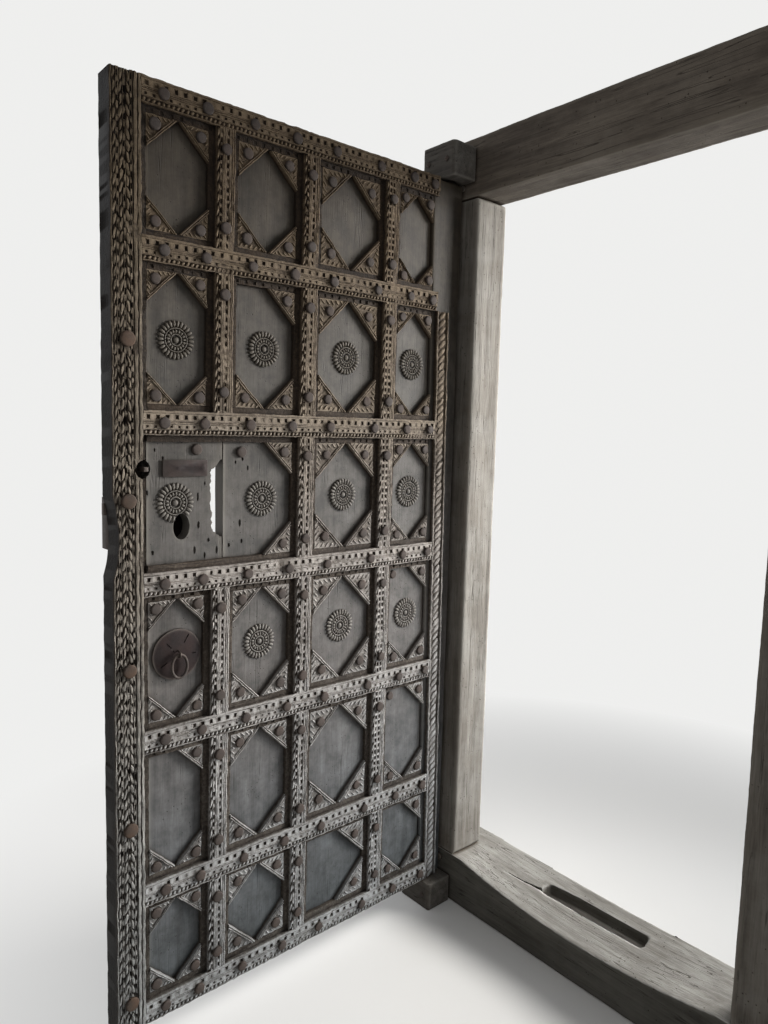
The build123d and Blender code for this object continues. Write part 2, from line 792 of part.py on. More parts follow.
for place, number in enumerate((1, 2, 3, 5)):
    parts[f"back_batten_{place + 1}"] = back_batten(number)

os.makedirs("parts", exist_ok=True)
for name, shape in parts.items():
    export_step(shape, f"parts/{name}.step")
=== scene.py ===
"""An old carved plank door standing open in its timber frame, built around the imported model."""
import json
import math
import random

import bpy
from mathutils import Matrix, Vector

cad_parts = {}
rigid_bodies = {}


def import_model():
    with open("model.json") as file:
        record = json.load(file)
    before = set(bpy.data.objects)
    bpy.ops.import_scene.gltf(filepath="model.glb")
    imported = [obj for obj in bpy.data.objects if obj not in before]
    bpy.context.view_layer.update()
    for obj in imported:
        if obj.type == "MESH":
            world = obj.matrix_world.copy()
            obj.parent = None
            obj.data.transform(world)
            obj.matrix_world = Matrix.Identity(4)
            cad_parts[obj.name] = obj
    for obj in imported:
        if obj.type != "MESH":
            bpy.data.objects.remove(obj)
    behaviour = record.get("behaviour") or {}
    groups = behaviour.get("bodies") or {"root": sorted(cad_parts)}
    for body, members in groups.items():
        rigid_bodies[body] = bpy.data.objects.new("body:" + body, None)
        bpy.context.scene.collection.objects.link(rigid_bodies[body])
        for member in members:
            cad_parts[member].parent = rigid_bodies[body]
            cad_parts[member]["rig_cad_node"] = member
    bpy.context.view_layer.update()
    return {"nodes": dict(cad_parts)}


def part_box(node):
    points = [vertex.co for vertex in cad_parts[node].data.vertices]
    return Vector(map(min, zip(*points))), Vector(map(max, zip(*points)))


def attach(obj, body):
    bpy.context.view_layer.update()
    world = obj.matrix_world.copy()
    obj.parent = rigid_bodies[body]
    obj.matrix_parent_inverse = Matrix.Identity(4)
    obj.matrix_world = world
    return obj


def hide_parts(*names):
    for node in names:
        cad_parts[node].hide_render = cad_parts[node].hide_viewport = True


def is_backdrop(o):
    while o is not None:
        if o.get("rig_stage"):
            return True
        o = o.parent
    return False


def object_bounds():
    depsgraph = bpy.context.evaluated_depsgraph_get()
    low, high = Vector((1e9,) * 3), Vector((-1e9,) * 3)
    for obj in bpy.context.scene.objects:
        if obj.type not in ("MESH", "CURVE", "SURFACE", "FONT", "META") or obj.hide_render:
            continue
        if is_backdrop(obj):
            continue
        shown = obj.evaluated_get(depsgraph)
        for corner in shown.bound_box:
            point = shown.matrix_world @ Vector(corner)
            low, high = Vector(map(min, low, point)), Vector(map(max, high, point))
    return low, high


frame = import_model()

# Camera: it stands in the room at eye height, 1.5 m inside the doorway and close to the
# strike side, and looks a little down at the leaf that stands open.
EYE = Vector((0.9588, -1.5222, 1.3098))
LOOK_RIGHT = Vector((0.6536, 0.7563, 0.0271))
LOOK_UP = Vector((-0.0928, 0.0445, 0.9947))
LOOK_BACK = Vector((0.7511, -0.6527, 0.0992))
camera_data = bpy.data.cameras.new("Camera")
camera_data.sensor_width = 36
camera_data.lens = 25.84
camera = bpy.data.objects.new("Camera", camera_data)
bpy.context.scene.collection.objects.link(camera)
turn = Matrix((LOOK_RIGHT, LOOK_UP, LOOK_BACK)).transposed()
camera.matrix_world = Matrix.Translation(EYE) @ turn.to_4x4()
bpy.context.scene.camera = camera


# Studio: a pale floor that passes into a pale backdrop. Two soft lamps outside rake the carving
# from the doorway's side, as daylight does there, two more light the room side, and an even sky
# does the rest.
BACKDROP_TONE = (0.86, 0.86, 0.85, 1)
FLOOR_TONE = (0.8, 0.79, 0.77, 1)
FADE_START, FADE_END = 0.4, 2.0
SKY_TONE, SKY_STRENGTH = (0.93, 0.96, 1.0, 1), 0.24


def deselect():
    bpy.ops.object.select_all(action="DESELECT")


def only(obj):
    deselect()
    obj.select_set(True)
    bpy.context.view_layer.objects.active = obj


def node(tree, kind, **values):
    made = tree.nodes.new(kind)
    for name, value in values.items():
        setattr(made, name, value)
    return made


def map_range(tree, value, low, high, to_low=0.0, to_high=1.0):
    made = node(tree, "ShaderNodeMapRange")
    for name, number in (("From Min", low), ("From Max", high), ("To Min", to_low), ("To Max", to_high)):
        made.inputs[name].default_value = number
    tree.links.new(value, made.inputs["Value"])
    return made.outputs["Result"]


def times(tree, first, second, operation="MULTIPLY"):
    made = node(tree, "ShaderNodeMath", operation=operation)
    for place, value in zip(made.inputs, (first, second)):
        if isinstance(value, (int, float)):
            place.default_value = value
        else:
            tree.links.new(value, place)
    return made.outputs["Value"]


deselect()
bpy.ops.mesh.primitive_plane_add(size=40, location=(0, 0, 0))
floor = bpy.context.object
floor.name = "studio_floor"
floor_finish = bpy.data.materials.new("studio_floor")
floor_finish.use_nodes = True
floor_tree = floor_finish.node_tree
floor_shader = floor_tree.nodes["Principled BSDF"]
floor_shader.inputs["Base Color"].default_value = FLOOR_TONE
floor_shader.inputs["Roughness"].default_value = 0.9
# Away from the door the floor passes into the backdrop's plain tone, where it is looked at.
far_tone = node(floor_tree, "ShaderNodeEmission")
far_tone.inputs["Color"].default_value = BACKDROP_TONE
floor_mix = node(floor_tree, "ShaderNodeMixShader")
floor_spot = node(floor_tree, "ShaderNodeTexCoord").outputs["Object"]
floor_reach = node(floor_tree, "ShaderNodeVectorMath", operation="LENGTH")
floor_tree.links.new(floor_spot, floor_reach.inputs[0])
floor_path = node(floor_tree, "ShaderNodeLightPath").outputs
floor_seen = times(floor_tree, floor_path["Is Camera Ray"], floor_path["Is Glossy Ray"], "MAXIMUM")
floor_fade = map_range(floor_tree, floor_reach.outputs["Value"], FADE_START, FADE_END)
floor_tree.links.new(times(floor_tree, floor_fade, floor_seen), floor_mix.inputs["Fac"])
floor_tree.links.new(floor_shader.outputs["BSDF"], floor_mix.inputs[1])
floor_tree.links.new(far_tone.outputs["Emission"], floor_mix.inputs[2])
floor_tree.links.new(floor_mix.outputs["Shader"], floor_tree.nodes["Material Output"].inputs["Surface"])
floor.data.materials.append(floor_finish)
floor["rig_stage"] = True

world = bpy.data.worlds.new("Studio")
bpy.context.scene.world = world
world.use_nodes = True
sky = world.node_tree
sky.nodes.clear()
path = node(sky, "ShaderNodeLightPath")
seen = node(sky, "ShaderNodeBackground")
seen.inputs["Color"].default_value = BACKDROP_TONE
lit = node(sky, "ShaderNodeBackground")
lit.inputs["Color"].default_value = SKY_TONE
lit.inputs["Strength"].default_value = SKY_STRENGTH
pick = node(sky, "ShaderNodeMixShader")
out = node(sky, "ShaderNodeOutputWorld")
sky.links.new(path.outputs["Is Camera Ray"], pick.inputs["Fac"])
sky.links.new(lit.outputs["Background"], pick.inputs[1])
sky.links.new(seen.outputs["Background"], pick.inputs[2])
sky.links.new(pick.outputs["Shader"], out.inputs["Surface"])


ALL_ROUND = 3.14


def soft_lamp(name, place, aim, size, watts, colour, spread=ALL_ROUND):
    """A square lamp. A narrow spread keeps its light off the floor behind the door."""
    data = bpy.data.lights.new(name, "AREA")
    data.shape = "SQUARE"
    data.size = size
    data.energy = watts
    data.color = colour
    data.spread = spread
    lamp = bpy.data.objects.new(name, data)
    bpy.context.scene.collection.objects.link(lamp)
    lamp.location = place
    lamp.rotation_euler = (Vector(aim) - Vector(place)).to_track_quat("-Z", "Y").to_euler()


soft_lamp("doorway_daylight", (0.85, 2.0, 1.8), (-0.42, -0.5, 1.0), 1.3, 37, (1.0, 0.985, 0.96), 1.2)
soft_lamp("doorway_bounce", (0.8, 1.2, 0.5), (-0.42, -0.5, 0.6), 0.7, 5, (0.9, 0.95, 1.0), 1.4)
soft_lamp("room_fill", (2.4, -2.6, 2.6), (-0.3, -0.4, 1.0), 2.5, 20, (1.0, 0.99, 0.97))
soft_lamp("room_side", (-2.8, -2.0, 2.4), (-0.5, -0.5, 1.0), 2.2, 30, (0.97, 0.98, 1.0))

bpy.context.scene.view_settings.view_transform = "Standard"


# Frame timbers: a thick sill worn hollow by feet, two jambs tenoned into it and a lintel
# over them, all hewn and squared by hand. Their arrises are rounded by wear.
def ramp(tree, source, stops):
    made = node(tree, "ShaderNodeValToRGB")
    while len(made.color_ramp.elements) < len(stops):
        made.color_ramp.elements.new(0.5)
    for element, (place, colour) in zip(made.color_ramp.elements, stops):
        element.position = place
        element.color = (*colour, 1)
    tree.links.new(source, made.inputs["Fac"])
    return made.outputs["Color"]


def noise(tree, vector, scale, detail=4.0, roughness=0.55, stretch=None):
    if stretch:
        mapping = node(tree, "ShaderNodeMapping")
        mapping.inputs["Scale"].default_value = stretch
        tree.links.new(vector, mapping.inputs["Vector"])
        vector = mapping.outputs["Vector"]
    made = node(tree, "ShaderNodeTexNoise")
    made.inputs["Scale"].default_value = scale
    made.inputs["Detail"].default_value = detail
    made.inputs["Roughness"].default_value = roughness
    tree.links.new(vector, made.inputs["Vector"])
    return made.outputs["Fac"]


def mix(tree, kind, share, first, second):
    made = node(tree, "ShaderNodeMix", data_type="RGBA", blend_type=kind)
    made.clamp_factor = True
    for socket, value in (("Factor_Float", share), ("A_Color", first), ("B_Color", second)):
        place = next(s for s in made.inputs if s.identifier == socket)
        if isinstance(value, (int, float)):
            place.default_value = value
        elif isinstance(value, tuple):
            place.default_value = (*value, 1)
        else:
            tree.links.new(value, place)
    return next(s for s in made.outputs if s.identifier == "Result_Color")


def axis_of(tree, vector, axis):
    parts = node(tree, "ShaderNodeSeparateXYZ")
    tree.links.new(vector, parts.inputs["Vector"])
    return parts.outputs[axis]


def new_finish(name):
    """A material with the low sheen of old wood and rust, with its tree, shader and place."""
    finish = bpy.data.materials.new(name)
    finish.use_nodes = True
    tree = finish.node_tree
    shader = tree.nodes["Principled BSDF"]
    shader.inputs["Specular IOR Level"].default_value = 0.25
    return finish, tree, shader, node(tree, "ShaderNodeTexCoord").outputs["Object"]


# Painted shade: ambient occlusion darkens the colour toward a tone in hollows, creases and between parts.
def paint_shade_in_hollows(tree, base, reach, unshaded, tone):
    closed = node(tree, "ShaderNodeAmbientOcclusion", samples=6)
    closed.inputs["Distance"].default_value = reach
    return mix(tree, "MULTIPLY", map_range(tree, closed.outputs["AO"], unshaded, 0.3), base, tone)


def roughen(tree, shader, height, relief):
    bump = node(tree, "ShaderNodeBump")
    bump.inputs["Strength"].default_value = 0.6
    bump.inputs["Distance"].default_value = relief
    tree.links.new(height, bump.inputs["Height"])
    tree.links.new(bump.outputs["Normal"], shader.inputs["Normal"])


WHITE = (1, 1, 1)


def wood(name, tones, dust, grain, pits, cut=None, painted_light=None, cracks=0.7, roughness=0.82, relief=0.0016,
         fine=0.5, crust=0.0, stains=0.0):
    """Weathered wood. tones run from the darkest to the palest and end with the patches' tone,
    grain is the fibre's stretch along X, Y and Z, pits the worm holes' scale, cut the X of the
    deepest cut and of the face, for painted shade in the cuts and dust on what stands out, and
    the ramp by height gives painted light and shade from the leaf's foot to its head."""
    finish, tree, shader, where = new_finish(name)
    shader.inputs["Roughness"].default_value = roughness
    fibre = noise(tree, where, 300, 5, 0.65, grain)
    streak = noise(tree, where, 45, 5, 0.62, grain)
    patch = noise(tree, where, 8, 5, 0.62)
    base = ramp(tree, streak, [(0.3, tones[0]), (0.5, tones[1]), (0.7, tones[2])])
    base = mix(tree, "MULTIPLY", fine, base, ramp(tree, fibre, [(0.36, (0.45, 0.42, 0.4)), (0.62, WHITE)]))
    base = mix(tree, "MIX", map_range(tree, patch, 0.42, 0.7, 0, 0.6), base, tones[3])
    if stains:
        stain = noise(tree, where, 22, 5, 0.7)
        stain_tones = [(0.36, (0.62, 0.6, 0.55)), (0.5, (1, 0.94, 0.86)), (0.64, (1.35, 1.3, 1.22))]
        base = mix(tree, "MULTIPLY", stains, base, ramp(tree, stain, stain_tones))
    # Cracks along the fibre.
    split = noise(tree, where, 60, 2, 0.5, tuple(g * (0.35 if g < 0.5 else 1) for g in grain))
    split = times(tree, times(tree, split, 0.5, "SUBTRACT"), 0.0, "ABSOLUTE")
    split = times(tree, map_range(tree, split, 0.012, 0.003), map_range(tree, patch, 0.46, 0.54))
    base = mix(tree, "MULTIPLY", times(tree, split, cracks), base, (0.16, 0.13, 0.1))
    lumps = noise(tree, where, 150, 3, 0.7)
    if crust:
        clods = ramp(tree, lumps, [(0.38, (0.42, 0.38, 0.34)), (0.56, WHITE)])
        base = mix(tree, "MULTIPLY", crust, base, clods)
        base = mix(tree, "MIX", times(tree, map_range(tree, lumps, 0.58, 0.7), crust), base, dust)
    edge = node(tree, "ShaderNodeNewGeometry").outputs["Pointiness"]
    worn = map_range(tree, edge, 0.505, 0.56)
    if cut:
        # Painted shade darkens the cuts, most at the deepest, and dust lies on what stands out.
        out = axis_of(tree, where, "X")
        high = map_range(tree, out, *cut)
        wander = times(tree, high, times(tree, times(tree, patch, 0.5, "SUBTRACT"), 0.6), "ADD")
        # Painted shade in the cuts.
        base = mix(tree, "MULTIPLY", map_range(tree, wander, 0.8, 0.2), base, (0.42, 0.38, 0.34))
        # More painted shade at the deepest cut.
        deep_shade = map_range(tree, out, cut[0] - 0.001, cut[0] - 0.005)
        base = mix(tree, "MULTIPLY", deep_shade, base, (0.5, 0.45, 0.4))
        worn = times(tree, worn, map_range(tree, wander, 0.2, 0.9))
        base = mix(tree, "MIX", map_range(tree, wander, 0.75, 1.05, 0, 0.45), base, dust)
    base = mix(tree, "MIX", times(tree, worn, 0.6), base, dust)
    # Painted light and shade by height on the leaf: the ramp's colours multiply the tones from its foot to
    # its head.
    if painted_light:
        level = map_range(tree, axis_of(tree, where, "Z"), 0.08, 1.97)
        share = times(tree, level, times(tree, patch, 0.12), "ADD")
        base = mix(tree, "MULTIPLY", 1.0, base, ramp(tree, share, painted_light))
    # Painted shade in the wood's hollows and creases.
    base = paint_shade_in_hollows(tree, base, 0.012, 0.85, (0.3, 0.24, 0.19))
    hole = node(tree, "ShaderNodeTexVoronoi")
    hole.inputs["Scale"].default_value = pits
    tree.links.new(where, hole.inputs["Vector"])
    dots = map_range(tree, hole.outputs["Distance"], 0.17, 0.12)
    dots = times(tree, dots, map_range(tree, noise(tree, where, 30, 2), 0.5, 0.58))
    base = mix(tree, "MULTIPLY", times(tree, dots, 0.85), base, (0.2, 0.16, 0.12))
    tree.links.new(base, shader.inputs["Base Color"])
    height = times(tree, times(tree, fibre, 0.5), times(tree, streak, 0.6), "ADD")
    height = times(tree, height, times(tree, lumps, 1.6 * crust), "ADD")
    height = times(tree, height, times(tree, times(tree, dots, split, "MAXIMUM"), 0.7), "SUBTRACT")
    roughen(tree, shader, height, relief)
    return finish


def dress(obj, finish, body):
    obj.data.materials.clear()
    obj.data.materials.append(finish)
    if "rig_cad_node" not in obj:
        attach(obj, body)


def edit(obj):
    """Edit mode on one piece, with all of it selected."""
    only(obj)
    bpy.ops.object.mode_set(mode="EDIT")
    bpy.ops.mesh.select_all(action="SELECT")


def edit_chosen(obj, kind, chosen):
    """Edit mode on one piece, with the points or faces selected that a test picks."""
    edit(obj)
    bpy.ops.mesh.select_mode(type=kind)
    bpy.ops.mesh.select_all(action="DESELECT")
    leave_edit()
    for element in obj.data.vertices if kind == "VERT" else obj.data.polygons:
        element.select = chosen(element)
    bpy.ops.object.mode_set(mode="EDIT")


def leave_edit():
    bpy.ops.object.mode_set(mode="OBJECT")


def thicken(obj, reach):
    """Makes a flat form a solid by its extrusion along Z."""
    edit(obj)
    bpy.ops.mesh.extrude_region_move(TRANSFORM_OT_translate={"value": (0, 0, reach)})
    bpy.ops.mesh.select_all(action="SELECT")
    bpy.ops.mesh.normals_make_consistent(inside=False)
    leave_edit()
    return obj


def apply_modifier(obj, kind, **settings):
    only(obj)
    modifier = obj.modifiers.new(kind.title(), kind)
    for name, value in settings.items():
        setattr(modifier, name, value)
    bpy.ops.object.modifier_apply(modifier=modifier.name)


def clouds(name, size, depth=2, colour="GRAYSCALE"):
    made = bpy.data.textures.new(name, "CLOUDS")
    made.noise_scale = size
    made.noise_depth = depth
    made.cloud_type = colour
    return made


def merged_copy(name, node_name):
    """A copy of a node's solid with its corners merged, to be worked on as a piece."""
    made = frame["nodes"][node_name].copy()
    made.data = made.data.copy()
    made.name = name
    for key in [k for k in made.keys() if k.startswith("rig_")]:
        del made[key]
    made.parent = None
    bpy.context.scene.collection.objects.link(made)
    edit(made)
    bpy.ops.mesh.remove_doubles(threshold=0.00002)
    leave_edit()
    return made


HEWN_WIDE = clouds("hewn_wide", 0.16)
HEWN_FINE = clouds("hewn_fine", 0.022, 3)


def sink(obj, texture, depth, **settings):
    """Lowers a surface by the clouds of a texture, never past the surface that it had."""
    apply_modifier(obj, "DISPLACE", texture=texture, strength=depth, mid_level=1.0, **settings)


def hewn(name, node_name, voxel, wide, fine, body):
    """A timber with soft arrises and an uneven hewn face, never outside the squared solid."""
    timber = merged_copy(name, node_name)
    apply_modifier(timber, "REMESH", mode="VOXEL", voxel_size=voxel, use_smooth_shade=True)
    apply_modifier(timber, "SMOOTH", factor=0.5, iterations=2)
    sink(timber, HEWN_WIDE, wide, texture_coords="LOCAL")
    sink(timber, HEWN_FINE, fine, texture_coords="LOCAL")
    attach(timber, body)
    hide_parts(node_name)
    return timber


def softened(name, node_name, width, body):
    """A node's solid with its edges broken."""
    made = merged_copy(name, node_name)
    apply_modifier(made, "BEVEL", width=width, segments=2, limit_method="ANGLE", angle_limit=0.6)
    bpy.ops.object.shade_smooth_by_angle(angle=0.7)
    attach(made, body)
    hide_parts(node_name)
    return made


def cut_with(obj, cutter, solver="FAST"):
    apply_modifier(obj, "BOOLEAN", operation="DIFFERENCE", object=cutter, solver=solver)
    bpy.data.objects.remove(cutter)
    return obj


def prism(outline, low, high):
    """A cutter over an outline of X and Y, between two levels."""
    data = bpy.data.meshes.new("prism")
    data.from_pydata([(*point, high) for point in outline], [], [range(len(outline))])
    made = bpy.data.objects.new("prism", data)
    bpy.context.scene.collection.objects.link(made)
    return thicken(made, low - high)


def shade_room_faces(finish, tone):
    """Painted shade: darkens the sides that face the room, which the daylight from the doorway does not
    reach.
    """
    tree = finish.node_tree
    colour = tree.nodes["Principled BSDF"].inputs["Base Color"]
    facing = axis_of(tree, node(tree, "ShaderNodeTexCoord").outputs["Normal"], "Y")
    share = map_range(tree, facing, -0.5, -0.85)
    tree.links.new(mix(tree, "MULTIPLY", share, colour.links[0].from_socket, tone), colour)


ALONG_X, ALONG_Y, ALONG_Z = (0.06, 1, 1), (1, 0.06, 1), (1, 1, 0.06)
TIMBER = {"pits": 90, "relief": 0.003}
sill_tones = [(0.22, 0.205, 0.18), (0.34, 0.325, 0.295), (0.45, 0.435, 0.4), (0.48, 0.465, 0.43)]
jamb_tones = [(0.1, 0.088, 0.074), (0.18, 0.163, 0.14), (0.27, 0.25, 0.22), (0.3, 0.29, 0.265)]
lintel_tones = [(0.1, 0.085, 0.07), (0.18, 0.155, 0.13), (0.27, 0.24, 0.2), (0.31, 0.28, 0.24)]
# The pivot blocks take the jamb timber's tones and dust darkened to about half, as painted shade.
shaded_block_tones = [(0.055, 0.048, 0.041), (0.095, 0.085, 0.073), (0.14, 0.128, 0.112), (0.155, 0.147, 0.132)]
sill_finish = wood("sill_timber", sill_tones, (0.56, 0.545, 0.51), ALONG_X, **TIMBER)
jamb_finish = wood("jamb_timber", jamb_tones, (0.38, 0.355, 0.31), ALONG_Z, **TIMBER)
lintel_finish = wood("lintel_timber", lintel_tones, (0.38, 0.35, 0.3), ALONG_X, **TIMBER)
pivot_finish = wood("pivot_block_timber", shaded_block_tones, (0.2, 0.187, 0.165), ALONG_X, **TIMBER)
# Painted shade on the faces of the frame timbers and pivot blocks that look into the room.
shade_room_faces(sill_finish, (0.22, 0.215, 0.2))
shade_room_faces(jamb_finish, (0.62, 0.6, 0.58))
shade_room_faces(lintel_finish, (0.5, 0.47, 0.44))
shade_room_faces(pivot_finish, (0.62, 0.6, 0.58))
SILL_CRACK = ((-0.262, 0.0175), (-0.228, 0.0217), (-0.196, 0.0255), (-0.149, 0.0340), (-0.149, 0.0430),
              (-0.178, 0.0342), (-0.205, 0.0275), (-0.236, 0.0230))
SILL_CRACK_FLOOR = 0.085
for name, finish, voxel in (("sill", sill_finish, 0.0045), ("hinge_jamb", jamb_finish, 0.007),
                            ("strike_jamb", jamb_finish, 0.007), ("lintel", lintel_finish, 0.007)):
    timber = hewn(name + "_timber", name, voxel, 0.003, 0.0014, "frame")
    if name == "sill":
        cut_with(timber, prism(SILL_CRACK, SILL_CRACK_FLOOR, 0.15))
    dress(timber, finish, "frame")
for name in ("lower_pivot_block", "upper_pivot_block"):
    dress(hewn(name + "_hewn", name, 0.0035, 0.002, 0.001, "frame"), pivot_finish, "frame")
dress(frame["nodes"]["frame_pegs"], jamb_finish, "frame")

# Planks of the leaf: wide boards that stand upright in four columns, worn smooth and grey, with
# the grain running up and the rosettes cut in them. A drawing of the leaf has across from the
# free edge on X, up on Y and outward from the carved face on Z.
RISE = 0.010
FACE_X = -0.421875
FREE_Y = -1.001751
MID_ACROSS = 0.4665
LEAF_FOOT, LEAF_TOP = 0.0775, 1.9705
LEAF_H = LEAF_TOP - LEAF_FOOT
MID_UP = (LEAF_FOOT + LEAF_TOP) / 2
BAND_H, FIELD_DEPTH, LEAF_T = 0.011, 0.021, 0.058
LEDGE_W = 0.013
STILE_W, RAIL_H, MULLION_W = 0.060, 0.048, 0.0425
UPRIGHT_LEFT = (0.208, 0.421, 0.6615, 0.855)
LEANS = (0.0145, 0.011, 0.0045, -0.028)
BOARD_JOINTS = (0.242, 0.455, 0.6955)
ROW_H = (0.237, 0.281, 0.273, 0.275, 0.278, 0.213)
ROWS, COLUMNS = 6, 4
RING_CELL = (3, 0)
ON_LEAF = Matrix(((0, 0, 1, FACE_X), (1, 0, 0, FREE_Y), (RISE, 1, 0, -RISE * MID_ACROSS), (0, 0, 0, 1)))


def rail_low(number):
    return LEAF_FOOT + sum(ROW_H[number:]) + (ROWS - number) * RAIL_H


def rail_high(number):
    return rail_low(number) + RAIL_H


def left_of(upright, up):
    return UPRIGHT_LEFT[upright] + LEANS[upright] * (up - MID_UP) / LEAF_H


def cell_left(column, up):
    return STILE_W if column == 0 else left_of(column - 1, up) + MULLION_W


def onto_leaf(obj, node_name, finish, before=Matrix.Identity(4)):
    """Moves a finished piece from its drawing (across, up, outward) to its place on the leaf."""
    obj.data.transform(ON_LEAF @ before @ obj.matrix_basis)
    obj.matrix_basis = Matrix.Identity(4)
    dress(obj, finish, "leaf")
    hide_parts(node_name)


def join(parts, name):
    deselect()
    for part in parts:
        part.select_set(True)
    bpy.context.view_layer.objects.active = parts[0]
    if len(parts) > 1:
        bpy.ops.object.join()
    parts[0].name = name
    return parts[0]


def settle(obj, matrix):
    """Applies a matrix to the mesh and keeps its faces turned outward."""
    matrix = matrix @ obj.matrix_basis
    obj.data.transform(matrix)
    if matrix.determinant() < 0:
        obj.data.flip_normals()
    obj.matrix_basis = Matrix.Identity(4)
    return obj


def sprinkle(master, matrices):
    """Copies of one form, each with its own mesh, at the places of a drawing."""
    made = []
    for matrix in matrices:
        copy = master.copy()
        copy.data = master.data.copy()
        bpy.context.scene.collection.objects.link(copy)
        made.append(settle(copy, matrix))
    bpy.data.objects.remove(master)
    return made


def dome(reach, sides):
    """The upper part of a ball, stretched to a reach along X, Y and Z."""
    deselect()
    bpy.ops.mesh.primitive_uv_sphere_add(segments=sides, ring_count=6, radius=1)
    made = bpy.context.object
    edit(made)
    bpy.ops.mesh.bisect(plane_co=(0, 0, -0.3), plane_no=(0, 0, 1), clear_inner=True)
    bpy.ops.mesh.select_all(action="SELECT")
    bpy.ops.transform.resize(value=reach, center_override=(0, 0, 0))
    leave_edit()
    bpy.ops.object.shade_smooth()
    return made


def spot(x, y, z=0.0, turn=0.0, size=1.0):
    return Matrix.Translation((x, y, z)) @ Matrix.Rotation(turn, 4, "Z") @ Matrix.Scale(size, 4)


def circle_of(master, count, radius, level):
    angles = [2 * math.pi * i / count for i in range(count)]
    return sprinkle(master, [spot(radius * math.cos(a), radius * math.sin(a), level, a) for a in angles])


def torus(radius, thick, steps, sides):
    deselect()
    bpy.ops.mesh.primitive_torus_add(major_radius=radius, minor_radius=thick, major_segments=steps,
                                     minor_segments=sides)
    bpy.ops.object.shade_smooth()
    return bpy.context.object


def rosette():
    """A carved flower: a ring of long petals, a ring of short ones, two rings and a boss."""
    field = -FIELD_DEPTH
    parts = circle_of(dome((0.0078, 0.0037, 0.0034), 8), 26, 0.0336, field)
    parts += circle_of(dome((0.0046, 0.0030, 0.003), 8), 17, 0.0180, field)
    for radius in (0.0243, 0.0118):
        parts.append(settle(torus(radius, 0.0015, 36, 6), spot(0, 0, field + 0.0012)))
    parts.append(settle(dome((0.0066, 0.0066, 0.0032), 12), spot(0, 0, field)))
    return join(parts, "rosette")


def board(name, left, right, low, high):
    """A plank between two heights. Its right edge may lean."""
    deselect()
    bpy.ops.mesh.primitive_grid_add(x_subdivisions=max(4, round((right(low) - left) / 0.009)),
                                    y_subdivisions=max(8, round((high - low) / 0.02)), size=1)
    made = bpy.context.object
    made.name = name
    for vertex in made.data.vertices:
        up = low + (vertex.co.y + 0.5) * (high - low)
        vertex.co = (left + (vertex.co.x + 0.5) * (right(up) - left), up, -FIELD_DEPTH)
    thicken(made, FIELD_DEPTH - LEAF_T)
    sink(made, HEWN_WIDE, 0.0024, texture_coords="LOCAL")
    sink(made, HEWN_FINE, 0.0006, texture_coords="LOCAL")
    bpy.ops.object.shade_smooth_by_angle(angle=0.6)
    return made


def cutter_rod(across, up, radius, low, high, sides=32):
    deselect()
    bpy.ops.mesh.primitive_cylinder_add(vertices=sides, radius=radius, depth=high - low)
    return settle(bpy.context.object, spot(across, up, (low + high) / 2))


# Places of the pits, across and up in millimetres.
GOUGES = ((92, 1279), (109, 1263), (273, 1253), (290, 1260), (303, 1240), (76, 1194), (284, 1121),
          (258, 1075), (289, 1081), (178, 1071), (87, 1073), (67, 1121), (201, 1210), (185, 1182),
          (187, 1123), (210, 1090), (201, 1058), (229, 1067))


def gouges(left, right):
    """Worm holes and torn places between two heights across, as one cutter."""
    chosen = random.Random(4)
    parts = []
    for across, up in GOUGES:
        if left < across / 1000 < right:
            deselect()
            bpy.ops.mesh.primitive_ico_sphere_add(subdivisions=2, radius=1)
            reach = Matrix.Diagonal((chosen.uniform(0.002, 0.0032), chosen.uniform(0.0035, 0.010), 0.005, 1))
            place = spot(across / 1000, up / 1000, -FIELD_DEPTH - 0.001)
            parts.append(settle(bpy.context.object, place @ reach))
    return join(parts, "gouges")


# Painted light and shade on the planks from foot to head: dark at the very foot, pale and bluish in the lower
# rows, darker and browner toward the head.
plank_painted_light = [(0.0, (0.33, 0.39, 0.44)), (0.12, (0.48, 0.55, 0.61)), (0.24, (0.7, 0.75, 0.81)),
              (0.42, (0.76, 0.735, 0.73)), (0.6, (0.61, 0.59, 0.57)), (0.76, (0.45, 0.42, 0.38)),
              (0.92, (0.31, 0.26, 0.2))]
plank_tones = [(0.088, 0.086, 0.085), (0.118, 0.116, 0.116), (0.148, 0.146, 0.145), (0.135, 0.138, 0.141)]
plank_finish = wood("plank", plank_tones, (0.25, 0.235, 0.21), ALONG_Z, 110, painted_light=plank_painted_light, cracks=0.35,
                    roughness=0.62, relief=0.0011, fine=0.25, stains=0.8)
random.seed(7)
middle_2, middle_3 = rail_low(2) + RAIL_H / 2, rail_low(3) + RAIL_H / 2
first_left = STILE_W + LEDGE_W
boards = {"field_board_1_upper": (0, first_left, middle_2, LEAF_TOP),
          "field_board_1_lower": (0, first_left, LEAF_FOOT, middle_3),
          "field_board_2": (1, BOARD_JOINTS[0], LEAF_FOOT, LEAF_TOP),
          "field_board_3": (2, BOARD_JOINTS[1], LEAF_FOOT, LEAF_TOP),
          "field_board_4": (3, BOARD_JOINTS[2], LEAF_FOOT, LEAF_TOP)}
for name, (column, left, low, high) in boards.items():
    def right(up, column=column):
        return BOARD_JOINTS[column] if column < 3 else left_of(3, up) - LEDGE_W
    parts = [board(name + "_plank", left, right, low, high)]
    flowers = []
    for row in (1, 2, 3):
        middle = (rail_low(row) + rail_high(row + 1)) / 2
        if low < middle < high and (row, column) != RING_CELL:
            across = (cell_left(column, middle) + left_of(column, middle)) / 2
            flowers.append(spot(across, middle, 0, random.uniform(0, 6), random.uniform(0.95, 1.0)))
    parts += sprinkle(rosette(), flowers)
    if name == "field_board_2":
        cut_with(parts[0], gouges(BOARD_JOINTS[0], 1))
    onto_leaf(join(parts, name + "_plank"), name, plank_finish)

